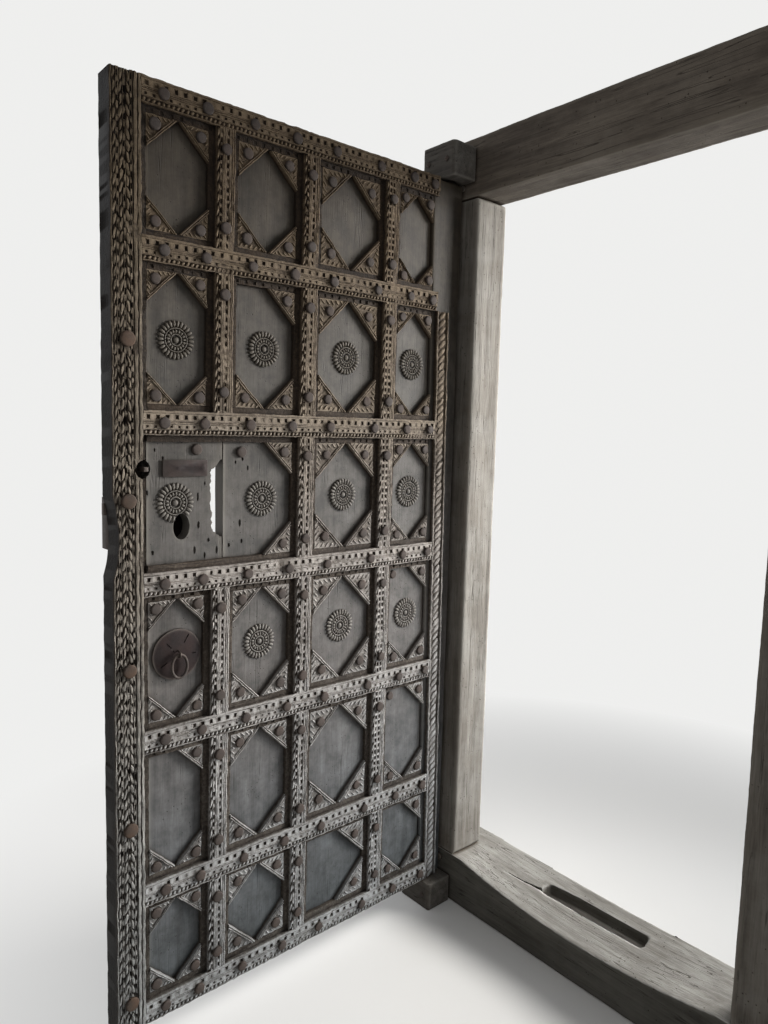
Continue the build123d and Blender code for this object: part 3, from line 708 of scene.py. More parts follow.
# Lock board: the short plank between the rails' middles, with the keyhole, the spindle's hole
# and the rotted slot along its joint. Worm and knocks have left pits in it and in its neighbour.
SPINDLE = (STILE_W + 0.004, rail_high(3) + 0.2055)
SPINDLE_HOLE = (0.0192, -0.042, 0.01)
KEYHOLE = (STILE_W + 0.089, rail_high(3) + 0.0865)
KEYHOLE_HALF = (0.018, 0.027)
# The slot's corners from the joint and from the rail below, in millimetres.
SLOT = ((4, 225), (-6, 223), (-29, 197), (-27, 139), (-24, 77), (-7, 59), (4, 59))
SLOT_STEPS, RAGGED = 9, 2.6
lock_plank = board("lock_board_plank", first_left, lambda up: BOARD_JOINTS[0], middle_3, middle_2)
cut_with(lock_plank, cutter_rod(*SPINDLE, *SPINDLE_HOLE))
oval = cutter_rod(0, 0, 1, -0.2, 0.1, 40)
cut_with(lock_plank, settle(oval, Matrix.Translation((*KEYHOLE, 0)) @ Matrix.Diagonal((*KEYHOLE_HALF, 1, 1))))
slot_edge = []
ragged = random.Random(5)
for (across, up), (next_across, next_up) in zip(SLOT, SLOT[1:] + SLOT[:1]):
    for share in [step / SLOT_STEPS for step in range(SLOT_STEPS)]:
        bite = ragged.uniform(-RAGGED, RAGGED) if share and up - next_up > 5 else 0
        slot_edge.append((BOARD_JOINTS[0] + (across + (next_across - across) * share + bite) / 1000,
                          rail_high(3) + (up + (next_up - up) * share) / 1000))
cut_with(lock_plank, prism(slot_edge, -0.09, 0.01))
cut_with(lock_plank, gouges(0, BOARD_JOINTS[0] - 0.004))


def over_keyhole(vertex):
    across, up = [(vertex.co[i] - KEYHOLE[i]) / KEYHOLE_HALF[i] for i in (0, 1)]
    return across ** 2 + up ** 2 < 1.08


flower = settle(rosette(), spot((STILE_W + left_of(0, 1.13)) / 2, (rail_low(2) + rail_high(3)) / 2))
edit_chosen(flower, "VERT", over_keyhole)
bpy.ops.mesh.delete(type="VERT")
bpy.ops.mesh.select_mode(type="FACE")
leave_edit()
onto_leaf(join([lock_plank, flower], "lock_board_plank"), "lock_board", plank_finish)

# Hinge stile and battens: the thick plank that turns on its own pivots, and the four ledges
# nailed across the back, which hold the planks together.
hinge_stile = hewn("hinge_stile_plank", "hinge_stile", 0.005, 0.0024, 0.001, "leaf")
dress(hinge_stile, plank_finish, "leaf")
batten_tones = [(0.1, 0.088, 0.075), (0.17, 0.152, 0.13), (0.25, 0.225, 0.19), (0.23, 0.21, 0.19)]
batten_finish = wood("batten", batten_tones, (0.34, 0.31, 0.27), ALONG_Y, 100, roughness=0.8, relief=0.0025)
for number in range(1, 5):
    batten = hewn(f"back_batten_{number}_hewn", f"back_batten_{number}", 0.006, 0.002, 0.001, "leaf")
    dress(batten, batten_finish, "leaf")

# Rails: seven carved bars across the leaf. Each has two rows of chip-cut notches between plain
# fillets, a roped lower edge, and ledges that step down to the planks, the lower one toothed.
WORN_WIDE = clouds("worn_wide", 0.05, 2)
WORN_FINE = clouds("worn_fine", 0.007, 2)
WORN_ALL_WAYS = clouds("worn_all_ways", 0.012, 2, "COLOR")
RUBBED = clouds("rubbed", 0.07, 3)
SPLINTERS = clouds("splinters", 0.004, 2)


def fibre_space(name, stretch):
    """A frame in which the cloud textures stretch along the fibre."""
    made = bpy.data.objects.new(name, None)
    bpy.context.scene.collection.objects.link(made)
    made.scale = stretch
    bpy.context.view_layer.update()
    return made


ALONG_ACROSS, ALONG_UP = fibre_space("fibre_across", (9, 1, 1)), fibre_space("fibre_up", (1, 9, 1))


def wear(obj, wide, fine, wander, fibre, splinter=0.0024):
    """Worn, split and uneven: the drawing's face sinks in places and its lines wander a little."""
    sink(obj, WORN_WIDE, wide, direction="Z")
    sink(obj, WORN_FINE, fine, direction="Z")
    sink(obj, SPLINTERS, splinter, direction="Z", texture_coords="OBJECT", texture_coords_object=fibre)
    apply_modifier(obj, "DISPLACE", texture=WORN_ALL_WAYS, direction="RGB_TO_XYZ", strength=wander,
                   mid_level=0.5)
    rise = (wide + fine + splinter) * 0.3
    for vertex in obj.data.vertices:
        rubbed = RUBBED.evaluate((vertex.co.x, vertex.co.y, 0.3))[3]
        vertex.co.z = min(vertex.co.z + rise, -0.016 * max(0.0, rubbed - 0.5))
    only(obj)
    bpy.ops.object.shade_smooth_by_angle(angle=0.7)
    return obj


def moulding(name, profile, length, steps):
    """A straight moulding along X, swept from its profile in Y and Z (millimetres)."""
    data = bpy.data.meshes.new(name)
    points = [(0, y / 1000, z / 1000) for y, z in profile]
    data.from_pydata(points, [(i, i + 1) for i in range(len(points) - 1)], [])
    made = bpy.data.objects.new(name, data)
    bpy.context.scene.collection.objects.link(made)
    apply_modifier(made, "SCREW", axis="X", angle=0.0, screw_offset=length, steps=steps, render_steps=steps)
    return made


SAME_POINT = 0.00001


def in_a_row(obj, count, step):
    apply_modifier(obj, "ARRAY", count=count, use_relative_offset=False, use_constant_offset=True,
                   constant_offset_displace=(step, 0, 0), use_merge_vertices=True, merge_threshold=SAME_POINT)
    return obj


def bead_row(length, pitch, reach, slant, level):
    """Slanting beads along X, as the strands of a rope show."""
    count = max(1, round(length / pitch))
    bead = settle(dome(reach, 8), spot(length / count / 2, 0, level, slant))
    return in_a_row(bead, count, length / count)


def notch_row(length, pitch, width, notch, depth, drift, level):
    """A strip along X with one chip-cut notch in each pitch and a skirt round it. The floor of
    a notch drifts along the strip, and dirt has filled some notches."""
    count = max(1, round(length / pitch))
    step = length / count
    deselect()
    bpy.ops.mesh.primitive_plane_add(size=1, location=(step / 2, 0, 0))
    made = bpy.context.object
    edit(made)
    bpy.ops.transform.resize(value=(step, width, 1), center_override=(step / 2, 0, 0))
    rim = 0.2 * min(step, width)
    bpy.ops.mesh.inset(thickness=rim)
    share = (notch[0] / (step - 2 * rim), notch[1] / (width - 2 * rim), 1)
    bpy.ops.transform.resize(value=share, center_override=(step / 2, 0, 0))
    bpy.ops.mesh.extrude_region_move(TRANSFORM_OT_translate={"value": (drift, 0, -depth)})
    bpy.ops.transform.resize(value=(0.5, 0.55, 1), center_override=(step / 2 + drift, 0, -depth))
    leave_edit()
    in_a_row(made, count, step)
    edit(made)
    bpy.ops.mesh.select_mode(type="EDGE")
    bpy.ops.mesh.select_all(action="DESELECT")
    bpy.ops.mesh.select_non_manifold()
    bpy.ops.mesh.extrude_edges_move(TRANSFORM_OT_translate={"value": (0, 0, -depth - 0.001)})
    bpy.ops.mesh.select_mode(type="FACE")
    leave_edit()
    place = random.uniform(0, 9)
    for vertex in made.data.vertices:
        if -1.01 * depth < vertex.co.z < -0.9 * depth:
            clogged = WORN_WIDE.evaluate((vertex.co.x, place, depth))[3]
            vertex.co.z += 0.85 * depth * min(1.0, max(0.0, (clogged - 0.5) * 5))
    return settle(made, spot(0, 0, level))


# Profiles across the run and outward, in millimetres.
rail_band = [(0, -11), (0, -1.6), (0.7, -0.4), (1.6, -0.2), (2.4, -1.4), (2.7, -4.8), (9.8, -4.8),
             (10.2, -1.6), (10.8, -0.5), (11.6, -0.4), (12, -1.6), (12.2, -6), (21.2, -6), (21.5, -1.8),
             (22, -0.6), (24.6, -0.5), (25, -1.7), (25.5, -1.7), (25.9, -0.5), (28.2, -0.5), (28.6, -1.6),
             (28.8, -6), (42.2, -6), (42.5, -1.4), (43.2, -0.3), (44.6, -0.1), (46.6, -0.1), (47.6, -0.6),
             (48, -1.8), (48, -11)]
lower_ledge = [(-13, -21), (-13, -14.2), (-12.4, -13.4), (0.5, -13.4)]
upper_ledge = [(47.5, -11.3), (59.6, -11.3), (60.6, -12.2), (61, -13.4), (61, -21)]
foot_side, head_side = [(0, -11), (0, -21)], [(48, -11), (48, -21)]
# A rope's row: pitch, a bead's half sizes, its slant and level. A row of notches: pitch, the
# strip's width, a notch's sizes, depth and drift, and level. Strips begin with their middle.
RAIL_ROPE = (0.0098, (0.0056, 0.0034, 0.0044), 1.0, -0.0047)
RAIL_STRIPS = ((0.0167, (0.0165, 0.0088, (0.0056, 0.0052), 0.0036, 0.001, -0.0008)),
               (0.0355, (0.0195, 0.0132, (0.0078, 0.0092), 0.0048, 0.0022, -0.0007)))
LEDGE_TEETH = (0.0205, 0.0118, (0.0075, 0.0075), 0.0042, 0.0008, -0.0115)
JOINT_GAP = 0.0004
PLAIN_LEDGE_RAIL = 2
BAND_WEAR = (0.002, 0.0028, 0.0034)
# Painted light and shade on the carving from foot to head: pale and bluish low down, darker and browner
# toward the head.
carved_painted_light = [(0.0, (0.68, 0.75, 0.82)), (0.3, (0.82, 0.85, 0.89)), (0.55, (0.78, 0.755, 0.745)),
               (0.75, (0.52, 0.44, 0.35)), (0.95, (0.34, 0.26, 0.175))]
carved_tones = [(0.14, 0.125, 0.11), (0.235, 0.215, 0.195), (0.33, 0.31, 0.285), (0.37, 0.35, 0.325)]


def carved(name, grain, lowest=0.009, highest=0.0012, painted_light=carved_painted_light, crust=0.7):
    """Carved wood with painted shade, darkest at the lowest cut, and dust at the highest, both below the
    face.
    """
    return wood(name, carved_tones, (0.46, 0.44, 0.41), grain, 150, (FACE_X - lowest, FACE_X - highest), painted_light,
                relief=0.0022, crust=crust)


rail_finish = carved("carved_rail", ALONG_Y)
for number in range(ROWS + 1):
    low = rail_low(number)
    left = STILE_W + JOINT_GAP
    length = left_of(3, low + RAIL_H / 2) - JOINT_GAP - left
    band = [moulding("band", rail_band, length, 110), settle(bead_row(length, *RAIL_ROPE), spot(0, 0.0062))]
    band += [settle(notch_row(length, *notches), spot(0, middle)) for middle, notches in RAIL_STRIPS]
    parts = [settle(part, spot(left, low)) for part in band]
    ledge_left, ledge_l = left + LEDGE_W, length - 2 * LEDGE_W
    if number > 0:
        parts.append(settle(moulding("ledge", upper_ledge, ledge_l, 60), spot(ledge_left, low)))
    else:
        parts.append(settle(moulding("side", head_side, length, 40), spot(left, low)))
    if number < ROWS:
        parts.append(settle(moulding("ledge", lower_ledge, ledge_l, 60), spot(ledge_left, low)))
        plain = left_of(1, low) - left if number == PLAIN_LEDGE_RAIL else 0
        teeth = notch_row(ledge_l - plain, *LEDGE_TEETH)
        parts.append(settle(teeth, spot(ledge_left + plain, low - 0.0064)))
    else:
        parts.append(settle(moulding("side", foot_side, length, 40), spot(left, low)))
    name = "top_rail" if number == 0 else "bottom_rail" if number == ROWS else f"rail_{number}"
    bar = wear(join(parts, name + "_carved"), *BAND_WEAR, ALONG_ACROSS)
    onto_leaf(bar, name, rail_finish)

# Mullions: the uprights between the rails. A rope runs up their left edge, two flat strands or
# a pierced ladder follow, and a plain double fillet closes the right edge.
edge_rope = [(0, -11), (0, -2), (0.6, -1), (1, -5), (7.6, -5), (7.9, -2.2)]
double_fillet = [(28.8, -1.6), (29.4, -0.6), (33.2, -0.5), (33.8, -1.6), (34.4, -1.6), (35, -0.3),
                 (37.6, -0.3), (38.1, -1.8), (38.7, -1.8), (39.2, -0.5), (41.4, -0.5), (42.1, -1),
                 (42.5, -2.2), (42.5, -11)]
dashed_band = edge_rope + [(8.1, -7), (13.5, -7), (13.7, -1.4), (14.3, -0.5), (18.2, -0.4), (18.6, -1.1),
                           (19, -0.4), (22.6, -0.4), (23.2, -1.4), (23.4, -7), (28.7, -7)] + double_fillet
ladder_band = edge_rope + [(8.1, -7), (28.7, -7)] + double_fillet
left_ledge = [(-13, -21), (-13, -12.4), (-12, -11.2), (0.4, -11.2)]
right_ledge = [(42.1, -11.2), (54.5, -11.2), (55.5, -12.4), (55.5, -21)]
DASHED_STRIPS = ((0.0108, (0.0175, 0.0056, (0.0108, 0.0042), 0.005, 0.0, -0.0012)),
                 (0.0261, (0.0162, 0.0056, (0.0098, 0.0042), 0.005, 0.0, -0.0012)))
LADDER_STRIPS = ((0.0128, (0.0152, 0.0096, (0.0098, 0.0058), 0.005, 0.0, -0.0012)),
                 (0.0236, (0.0152, 0.0098, (0.0098, 0.0058), 0.005, 0.0, -0.0012)))
MULLION_ROPE = (0.0225, (0.0118, 0.0031, 0.0050), 0.2, -0.0050)
UP_FIBRE = (1, 1, 0.15)


def stand(part, foot, across=0):
    """Turns a form drawn along X to run up from its foot."""
    return settle(part, spot(across, foot) @ Matrix(((0, 1, 0, 0), (1, 0, 0, 0), (0, 0, 1, 0), (0, 0, 0, 1))))


def lean_with(upright):
    """The slant of an upright, for drawings whose across starts at its left edge."""
    slope = LEANS[upright] / LEAF_H
    start = UPRIGHT_LEFT[upright] - slope * MID_UP
    return Matrix(((1, slope, 0, start), (0, 1, 0, 0), (0, 0, 1, 0), (0, 0, 0, 1)))


mullion_finish = carved("carved_mullion", UP_FIBRE)
for row in range(ROWS):
    for column in range(COLUMNS - 1):
        name = f"mullion_{column + 1}_row_{row + 1}"
        if name not in frame["nodes"]:
            continue
        low = rail_high(row + 1)
        length = rail_low(row) - low
        profile, strips = (dashed_band, DASHED_STRIPS) if column < 2 else (ladder_band, LADDER_STRIPS)
        parts = [stand(moulding("band", profile, length, 48), low),
                 stand(bead_row(length, *MULLION_ROPE), low, 0.0044)]
        parts += [stand(notch_row(length, *notches), low, middle) for middle, notches in strips]
        for profile in (left_ledge, right_ledge):
            parts.append(stand(moulding("ledge", profile, length - 2 * LEDGE_W, 24), low + LEDGE_W))
        upright = wear(join(parts, name + "_carved"), *BAND_WEAR, ALONG_UP)
        onto_leaf(upright, name, mullion_finish, lean_with(column))

# Closing stile: the thick post at the free edge, carved with three ropes and rows of dashes
# between them. Its outer edge is worn ragged and bitten away in one place.
stile_band = [(0, -57.4), (0, -5), (0.8, -2.6), (2.4, -1.5), (4.4, -1.7), (4.8, -4.2), (11.4, -4.2),
              (11.8, -2.0), (12, -7.5), (16.8, -7.5), (17, -2.4), (17.4, -4.0), (24.8, -4.0), (25.2, -2.0),
              (25.4, -7.5), (29.8, -7.5), (30, -2.0), (30.4, -4.0), (37.6, -4.0), (38, -2.0), (38.2, -7.5),
              (42.6, -7.5), (42.8, -3), (44.4, -3.2), (45, -1), (46, -0.4), (50.8, -0.3), (51.6, -1),
              (52, -2.4), (53, -2.4), (53.5, -0.8), (54.4, -0.1), (58.6, -0.1), (59.6, -0.6), (60, -1.8),
              (60, -21), (73, -21), (73, -57.4), (72.4, -58), (0.6, -58), (0, -57.4)]


def weld(obj):
    edit(obj)
    bpy.ops.mesh.remove_doubles(threshold=SAME_POINT)
    bpy.ops.mesh.normals_make_consistent(inside=False)
    leave_edit()
    return obj


def stile_post(low, high, steps):
    """A length of the post with closed ends."""
    post = weld(moulding("post", stile_band, high - low, steps))
    for end in (0, high - low):
        edit_chosen(post, "VERT", lambda vertex: abs(vertex.co.x - end) < SAME_POINT)
        bpy.ops.mesh.edge_face_add()
        bpy.ops.mesh.select_mode(type="FACE")
        leave_edit()
    return stand(weld(post), low)


# Painted light and shade on the closing stile from foot to head, darker all over than the rest of the
# carving: greyish low down, darker and browner toward the head.
stile_painted_light = [(0.0, (0.5, 0.55, 0.59)), (0.3, (0.56, 0.57, 0.57)), (0.55, (0.48, 0.44, 0.39)),
              (0.75, (0.37, 0.32, 0.26)), (0.95, (0.28, 0.22, 0.15))]
stile_finish = carved("carved_stile", UP_FIBRE, painted_light=stile_painted_light, crust=0.8)
# Painted shade on the stile's faces that look into the room.
shade_room_faces(stile_finish, (0.3, 0.26, 0.23))
HOLE_MARGIN = 0.026
hole_low, hole_high = SPINDLE[1] - HOLE_MARGIN, SPINDLE[1] + HOLE_MARGIN
parts = [cut_with(stile_post(hole_low, hole_high, 8), cutter_rod(*SPINDLE, *SPINDLE_HOLE), "EXACT")]
for low, high in ((LEAF_FOOT, hole_low), (hole_high, LEAF_TOP)):
    parts.append(stile_post(low, high, round((high - low) / 0.008)))
stile_ledge = [(59.8, -11.2), (72, -11.2), (73, -12.2), (73, -21.4)]
for low, high in ((LEAF_FOOT, rail_high(3)), (rail_low(2), LEAF_TOP)):
    parts.append(stand(moulding("ledge", stile_ledge, high - low, 90), low))
STILE_ROPES = ((0.0081, (0.0235, (0.0128, 0.0034, 0.0040), 0.16, -0.0042)),
               (0.0211, (0.0220, (0.0130, 0.0039, 0.0038), 0.2, -0.0040)),
               (0.0340, (0.0205, (0.0120, 0.0039, 0.0038), -0.2, -0.0040)))
for middle, rope in STILE_ROPES:
    parts.append(stand(bead_row(LEAF_H, *rope), LEAF_FOOT, middle))
for middle, pitch, wide in ((0.0144, 0.0225, 0.0048), (0.0276, 0.0240, 0.0044), (0.0404, 0.0215, 0.0044)):
    dashes = notch_row(LEAF_H, pitch, wide, (pitch * 0.52, 0.0029), 0.005, 0.0, -0.0012)
    parts.append(stand(dashes, LEAF_FOOT, middle))
stile = wear(join(parts, "closing_stile_carved"), 0.0022, 0.0034, 0.0044, ALONG_UP)
BITE_UP, BITE_HALF, BITE = 1.109, 0.080, 0.011
RAGGED_EDGE = clouds("ragged_edge", 0.03, 3)
for vertex in stile.data.vertices:
    up = vertex.co.y
    ragged = 0.0006 + 0.003 * max(0.0, RAGGED_EDGE.evaluate((0.2, up, vertex.co.z * 0.5))[3] - 0.35)
    bite = BITE * max(0.0, 1 - ((up - BITE_UP) / BITE_HALF) ** 2)
    vertex.co.x = max(vertex.co.x, ragged + bite)
    vertex.co.y = min(max(up, LEAF_FOOT), LEAF_TOP)
    vertex.co.z = max(vertex.co.z, -LEAF_T)
onto_leaf(stile, "closing_stile", stile_finish)

# Hinge border: one thick rope between two fillets, nailed on beside the hinge stile. Its upper
# end is lost above the first rail.
border_band = [(0, -11), (0, -2), (0.6, -0.8), (1.6, -0.3), (4.4, -0.3), (5.2, -1.2), (5.6, -3), (6.4, -3),
               (7.2, -4.6), (35, -4.6), (35.8, -3), (36.6, -3), (37, -1.2), (37.8, -0.3), (40.4, -0.3),
               (41.4, -0.9), (42, -2.2), (42, -11)]
BORDER_ROPE = (0.0185, (0.0160, 0.0066, 0.0042), 0.85, -0.0046)
length = rail_low(1) - LEAF_FOOT
parts = [stand(moulding("border", border_band, length, 150), LEAF_FOOT),
         stand(bead_row(length, *BORDER_ROPE), LEAF_FOOT, 0.0211)]
border = wear(join(parts, "hinge_border_carved"), 0.0026, 0.003, 0.0036, ALONG_UP)
onto_leaf(border, "hinge_border", mullion_finish, lean_with(3))

# Corner blocks: a triangle in each cell corner with a double ridge along its slope and short
# flutes that point to it. Several are lost.
CORNER_GAP = 0.005
MOULDING_W = 0.007
PLACES = ("top_left", "top_right", "foot_left", "foot_right")
# Row, column and corner, counted from 0 at the head and at the free edge.
LOST = {(1, 1, "top_left"), (2, 0, "top_left"), (2, 0, "top_right"), (2, 0, "foot_left"),
        (2, 0, "foot_right"), (2, 1, "top_left"), (2, 1, "foot_left"), (3, 3, "top_left"),
        (4, 0, "top_left"), (4, 3, "top_left"), (5, 2, "top_left"), (5, 2, "foot_left"), (5, 3, "top_left")}
BARE_STUDS = {(2, 0, "top_right"), (2, 1, "top_left"), (3, 3, "top_left"), (4, 3, "top_left")}


def corner(column, row, place):
    """The three points of a cell's corner block, its right angle first."""
    top, left = place.startswith("top"), place.endswith("left")
    up = rail_low(row) - LEDGE_W if top else rail_high(row + 1) + LEDGE_W
    middle = (rail_low(row) + rail_high(row + 1)) / 2
    leg = (left_of(column, middle) - cell_left(column, middle)) / 2 - LEDGE_W - CORNER_GAP / 2

    def edge(level):
        return cell_left(column, level) + LEDGE_W if left else left_of(column, level) - LEDGE_W

    end = up - leg if top else up + leg
    return (edge(up), up), (edge(up) + (leg if left else -leg), up), (edge(end), end)


def corner_block():
    """One block with legs one unit long on X and Y."""
    leg = 0.066
    deselect()
    bpy.ops.mesh.primitive_grid_add(x_subdivisions=9, y_subdivisions=9, size=leg,
                                    location=(leg / 2, leg / 2, -BAND_H - 0.0006))
    body = bpy.context.object
    edit(body)
    bpy.ops.mesh.bisect(plane_co=(leg / 2, leg / 2, 0), plane_no=(1, 1, 0), clear_outer=True)
    leave_edit()
    parts = [settle(thicken(body, BAND_H - FIELD_DEPTH), Matrix.Identity(4))]
    # Two ridges along the slope, from inset and half width in millimetres.
    for inset, half in ((1.9, 1.7), (5.6, 1.5)):
        arch = [(-half, -1), (-half, 0.6), (-half * 0.7, 1.9), (0, 2.6), (half * 0.7, 1.9), (half, 0.6),
                (half, -1)]
        ridge = moulding("ridge", arch, leg * math.sqrt(2) - 2 * inset / 1000, 10)
        start = leg - math.sqrt(2) * inset / 1000
        parts.append(settle(ridge, spot(start, 0, -BAND_H, 3 * math.pi / 4)))
    flutes = [(0.27, 0.1), (0.43, 0.085), (0.59, 0.075), (0.75, 0.07)]
    flutes += [(b, a) for a, b in flutes] + [(0.1, 0.1)]
    spots = [spot(a * leg, b * leg, -BAND_H - 0.0004, math.pi / 4) for a, b in flutes]
    parts += sprinkle(dome((0.0058, 0.0019, 0.0024), 8), spots)
    return settle(join(parts, "corner_block"), Matrix.Diagonal((1 / leg, 1 / leg, 1, 1)))


block_finish = carved("carved_corner", (1, 0.4, 0.4), 0.021, 0.0082, crust=0.6)
for column in range(COLUMNS):
    matrices = []
    for row in range(ROWS):
        for place in PLACES:
            if (row, column, place) not in LOST:
                origin, a, b = corner(column, row, place)
                matrices.append(Matrix(((a[0] - origin[0], b[0] - origin[0], 0, origin[0]),
                                        (a[1] - origin[1], b[1] - origin[1], 0, origin[1]),
                                        (0, 0, 1, 0), (0, 0, 0, 1))))
    parts = sprinkle(corner_block(), matrices)
    blocks = wear(join(parts, f"corner_blocks_{column + 1}_carved"), 0.0012, 0.002, 0.0028, ALONG_UP, 0.001)
    onto_leaf(blocks, f"corner_blocks_{column + 1}", block_finish)


# Iron: forged nail heads, the strap over the lock, the pull's beaten plate and its ring, dark
# and rusted with a dusty skin.
def iron(name, dark, rust, share, roughness, relief=0.0006):
    """Rusted iron. share is how much of it the rust's patches take."""
    finish, tree, shader, where = new_finish(name)
    shader.inputs["Metallic"].default_value = 0.25
    patch = noise(tree, where, 26, 5, 0.65)
    speck = noise(tree, where, 420, 4, 0.7)
    pitted = noise(tree, where, 160, 5, 0.7)
    base = mix(tree, "MIX", map_range(tree, patch, 0.4, 0.66, 0, share), dark, rust)
    base = mix(tree, "MULTIPLY", 0.6, base, ramp(tree, speck, [(0.35, (0.55, 0.5, 0.47)), (0.65, WHITE)]))
    edge = node(tree, "ShaderNodeNewGeometry").outputs["Pointiness"]
    base = mix(tree, "MIX", map_range(tree, edge, 0.52, 0.62, 0, 0.45), base, (0.26, 0.22, 0.19))
    # Painted shade in the iron's hollows and creases.
    base = paint_shade_in_hollows(tree, base, 0.006, 0.8, (0.35, 0.28, 0.22))
    tree.links.new(base, shader.inputs["Base Color"])
    rough = map_range(tree, pitted, 0.3, 0.7, roughness - 0.12, roughness + 0.15)
    tree.links.new(rough, shader.inputs["Roughness"])
    roughen(tree, shader, times(tree, pitted, times(tree, speck, 0.4), "ADD"), relief)
    return finish


stud_finish = iron("stud_iron", (0.026, 0.021, 0.02), (0.05, 0.032, 0.025), 0.7, 0.8)
brown_finish = iron("stile_stud_iron", (0.034, 0.023, 0.016), (0.075, 0.038, 0.02), 0.8, 0.82)
plate_finish = iron("plate_iron", (0.015, 0.010, 0.0095), (0.03, 0.0165, 0.0145), 0.8, 0.66, 0.0004)
ring_finish = iron("ring_iron", (0.03, 0.024, 0.022), (0.055, 0.036, 0.027), 0.7, 0.6)
STUD_R, STUD_H, STILE_STUD_R = 0.011, 0.005, 0.014
HAMMERED = clouds("hammered", 0.006, 1)


def studs(node_name, spots, radius, finish):
    """Nail heads, each a little different in turn and reach, beaten unevenly."""
    name = node_name + "_forged"
    random.seed(name)
    matrices = []
    for across, up, level in spots:
        matrices.append(spot(across, up, level, random.uniform(0, 6), random.uniform(1.0, 1.14)))
    deselect()
    bpy.ops.mesh.primitive_cylinder_add(vertices=10, radius=radius, depth=STUD_H * 1.3)
    head = settle(bpy.context.object, spot(0, 0, STUD_H * 0.35))
    for face in head.data.polygons:
        face.select = face.center.z > STUD_H * 0.9
    only(head)
    bpy.ops.object.mode_set(mode="EDIT")
    bpy.ops.mesh.select_mode(type="FACE")
    bpy.ops.mesh.bevel(offset=STUD_H * 0.62, segments=2)
    bpy.ops.mesh.poke(offset=STUD_H * 0.1)
    leave_edit()
    heads = join(sprinkle(head, matrices), name)
    sink(heads, HAMMERED, 0.0014, direction="Z")
    for vertex in heads.data.vertices:
        vertex.co.z = min(vertex.co.z, max(spots[0][2], 0) + STUD_H)
    bpy.ops.object.shade_smooth()
    onto_leaf(heads, node_name, finish)


# Two studs on each rail in every cell's width, and one near each end of a mullion.
FROM_LEFT, FROM_RIGHT, FROM_END = 0.043, 0.021, 0.042
spots = []
for number in range(ROWS + 1):
    level = rail_low(number) + RAIL_H / 2
    for column in range(COLUMNS):
        spots.append((cell_left(column, level) + FROM_LEFT, level, 0))
        spots.append((left_of(column, level) - FROM_RIGHT, level, 0))
for row in range(ROWS):
    for column in range(COLUMNS - 1):
        if f"mullion_{column + 1}_row_{row + 1}" in frame["nodes"]:
            for up in (rail_low(row) - FROM_END, rail_high(row + 1) + FROM_END):
                spots.append((left_of(column, up) + MULLION_W / 2, up, 0))
studs("band_studs", spots, STUD_R, stud_finish)

spots = []
for row in range(ROWS):
    for column in range(COLUMNS):
        for place in PLACES:
            key = (row, column, place)
            if key in LOST and key not in BARE_STUDS:
                continue
            origin, a, b = [Vector(point) for point in corner(column, row, place)]
            slope_middle = (a + b) / 2
            seat = slope_middle + (origin - slope_middle).normalized() * (MOULDING_W + 0.002 + STUD_R)
            spots.append((seat.x, seat.y, -FIELD_DEPTH if key in LOST else -BAND_H))
studs("corner_studs", spots, STUD_R, stud_finish)
spots = [(STILE_W / 2, up, 0) for up in (1.488, 1.181, 0.846, 0.518, 0.143)]
studs("stile_studs", spots, STILE_STUD_R, brown_finish)

# Pull: a round plate that rises in shallow rings to its middle, with slits cut with a chisel,
# and a ring bent from a round bar.
PLATE = (STILE_W + 0.077, rail_high(4) + 0.144)
PLATE_R, PLATE_T, SLIT_FLOOR = 0.053, 0.003, 0.0012
# Each ring's width and rise, from the plate's edge inward.
PLATE_RINGS = ((0.004, 0.0008), (0.008, 0.001), (0.009, 0.0008), (0.01, 0.0003), (0.012, 0.0001))
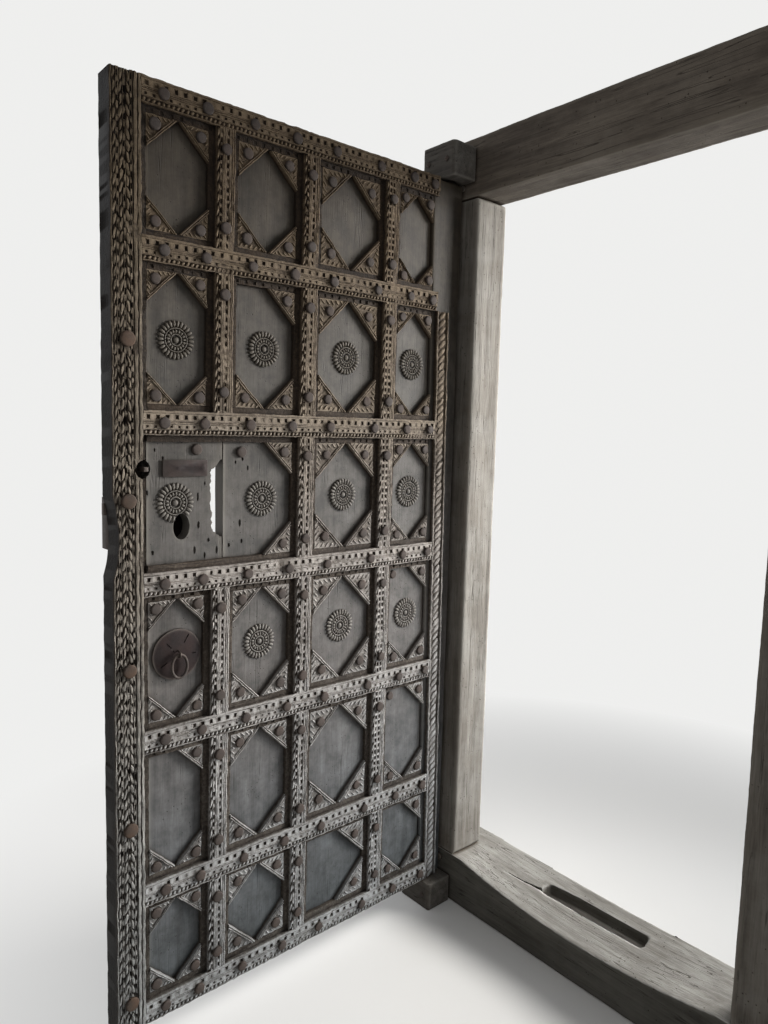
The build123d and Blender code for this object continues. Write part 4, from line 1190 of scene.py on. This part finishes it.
# Each slit's turn, its ends from the plate's middle and half its width.
SLITS = ((1.0, 0.027, 0.047, 0.0012), (2.3, 0.020, 0.035, 0.0012), (3.68, 0.026, 0.041, 0.0012),
         (-0.06, 0.032, 0.041, 0.0012), (2.4, 0.011, 0.014, 0.0014))
plate = cutter_rod(*PLATE, PLATE_R, -FIELD_DEPTH, -FIELD_DEPTH + PLATE_T, 64)
edit_chosen(plate, "FACE", lambda face: face.center.z > -FIELD_DEPTH + PLATE_T * 0.9)
for width, rise in PLATE_RINGS:
    bpy.ops.mesh.inset(thickness=width)
    bpy.ops.transform.translate(value=(0, 0, rise))
leave_edit()
weld(plate)
for turn, near, far, half in SLITS:
    slit = prism(((near, -half), (far, -half), (far, half), (near, half)), -FIELD_DEPTH + SLIT_FLOOR, 0.01)
    cut_with(plate, settle(slit, spot(*PLATE, 0, turn)))
sink(plate, HEWN_FINE, 0.0008, direction="Z")
bpy.ops.object.shade_smooth_by_angle(angle=0.6)
plate.name = "ring_plate_beaten"
onto_leaf(plate, "ring_plate", plate_finish)

ring_low, ring_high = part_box("pull_ring")
ring_wide, ring_tall = ring_high[1] - ring_low[1], ring_high[2] - ring_low[2]
WIRE_R = 0.003
ring = torus(ring_wide / 2 - WIRE_R, WIRE_R, 48, 12)
ring.name = "pull_ring_bent"
for vertex in ring.data.vertices:
    vertex.co.y += (ring_tall - ring_wide) / 2 * math.sin(math.atan2(vertex.co.y, vertex.co.x))
upright = Matrix(((0, 0, 1, 0), (1, 0, 0, 0), (0, 1, 0, 0), (0, 0, 0, 1)))
settle(ring, Matrix.Translation([(low + high) / 2 for low, high in zip(ring_low, ring_high)]) @ upright)
dress(ring, ring_finish, "ring")
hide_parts("pull_ring")

# Plain ironwork: finish, body and the width of its broken edges.
IRONWORK = {"ring_staple": (ring_finish, "leaf", 0.0004), "hasp_strap": (plate_finish, "leaf", 0.0007),
            "latch_spindle": (ring_finish, "leaf", 0.0006), "lock_case": (plate_finish, "leaf", 0.0012),
            "lock_bolt": (ring_finish, "bolt", 0.0008), "bolt_keeper": (ring_finish, "frame", 0.0007),
            "frame_spikes": (stud_finish, "frame", 0.0005)}
for name, (finish, body, width) in IRONWORK.items():
    dress(softened(name + "_forged", name, width, body), finish, body)

for space in (ALONG_ACROSS, ALONG_UP):
    bpy.data.objects.remove(space)
low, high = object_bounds()
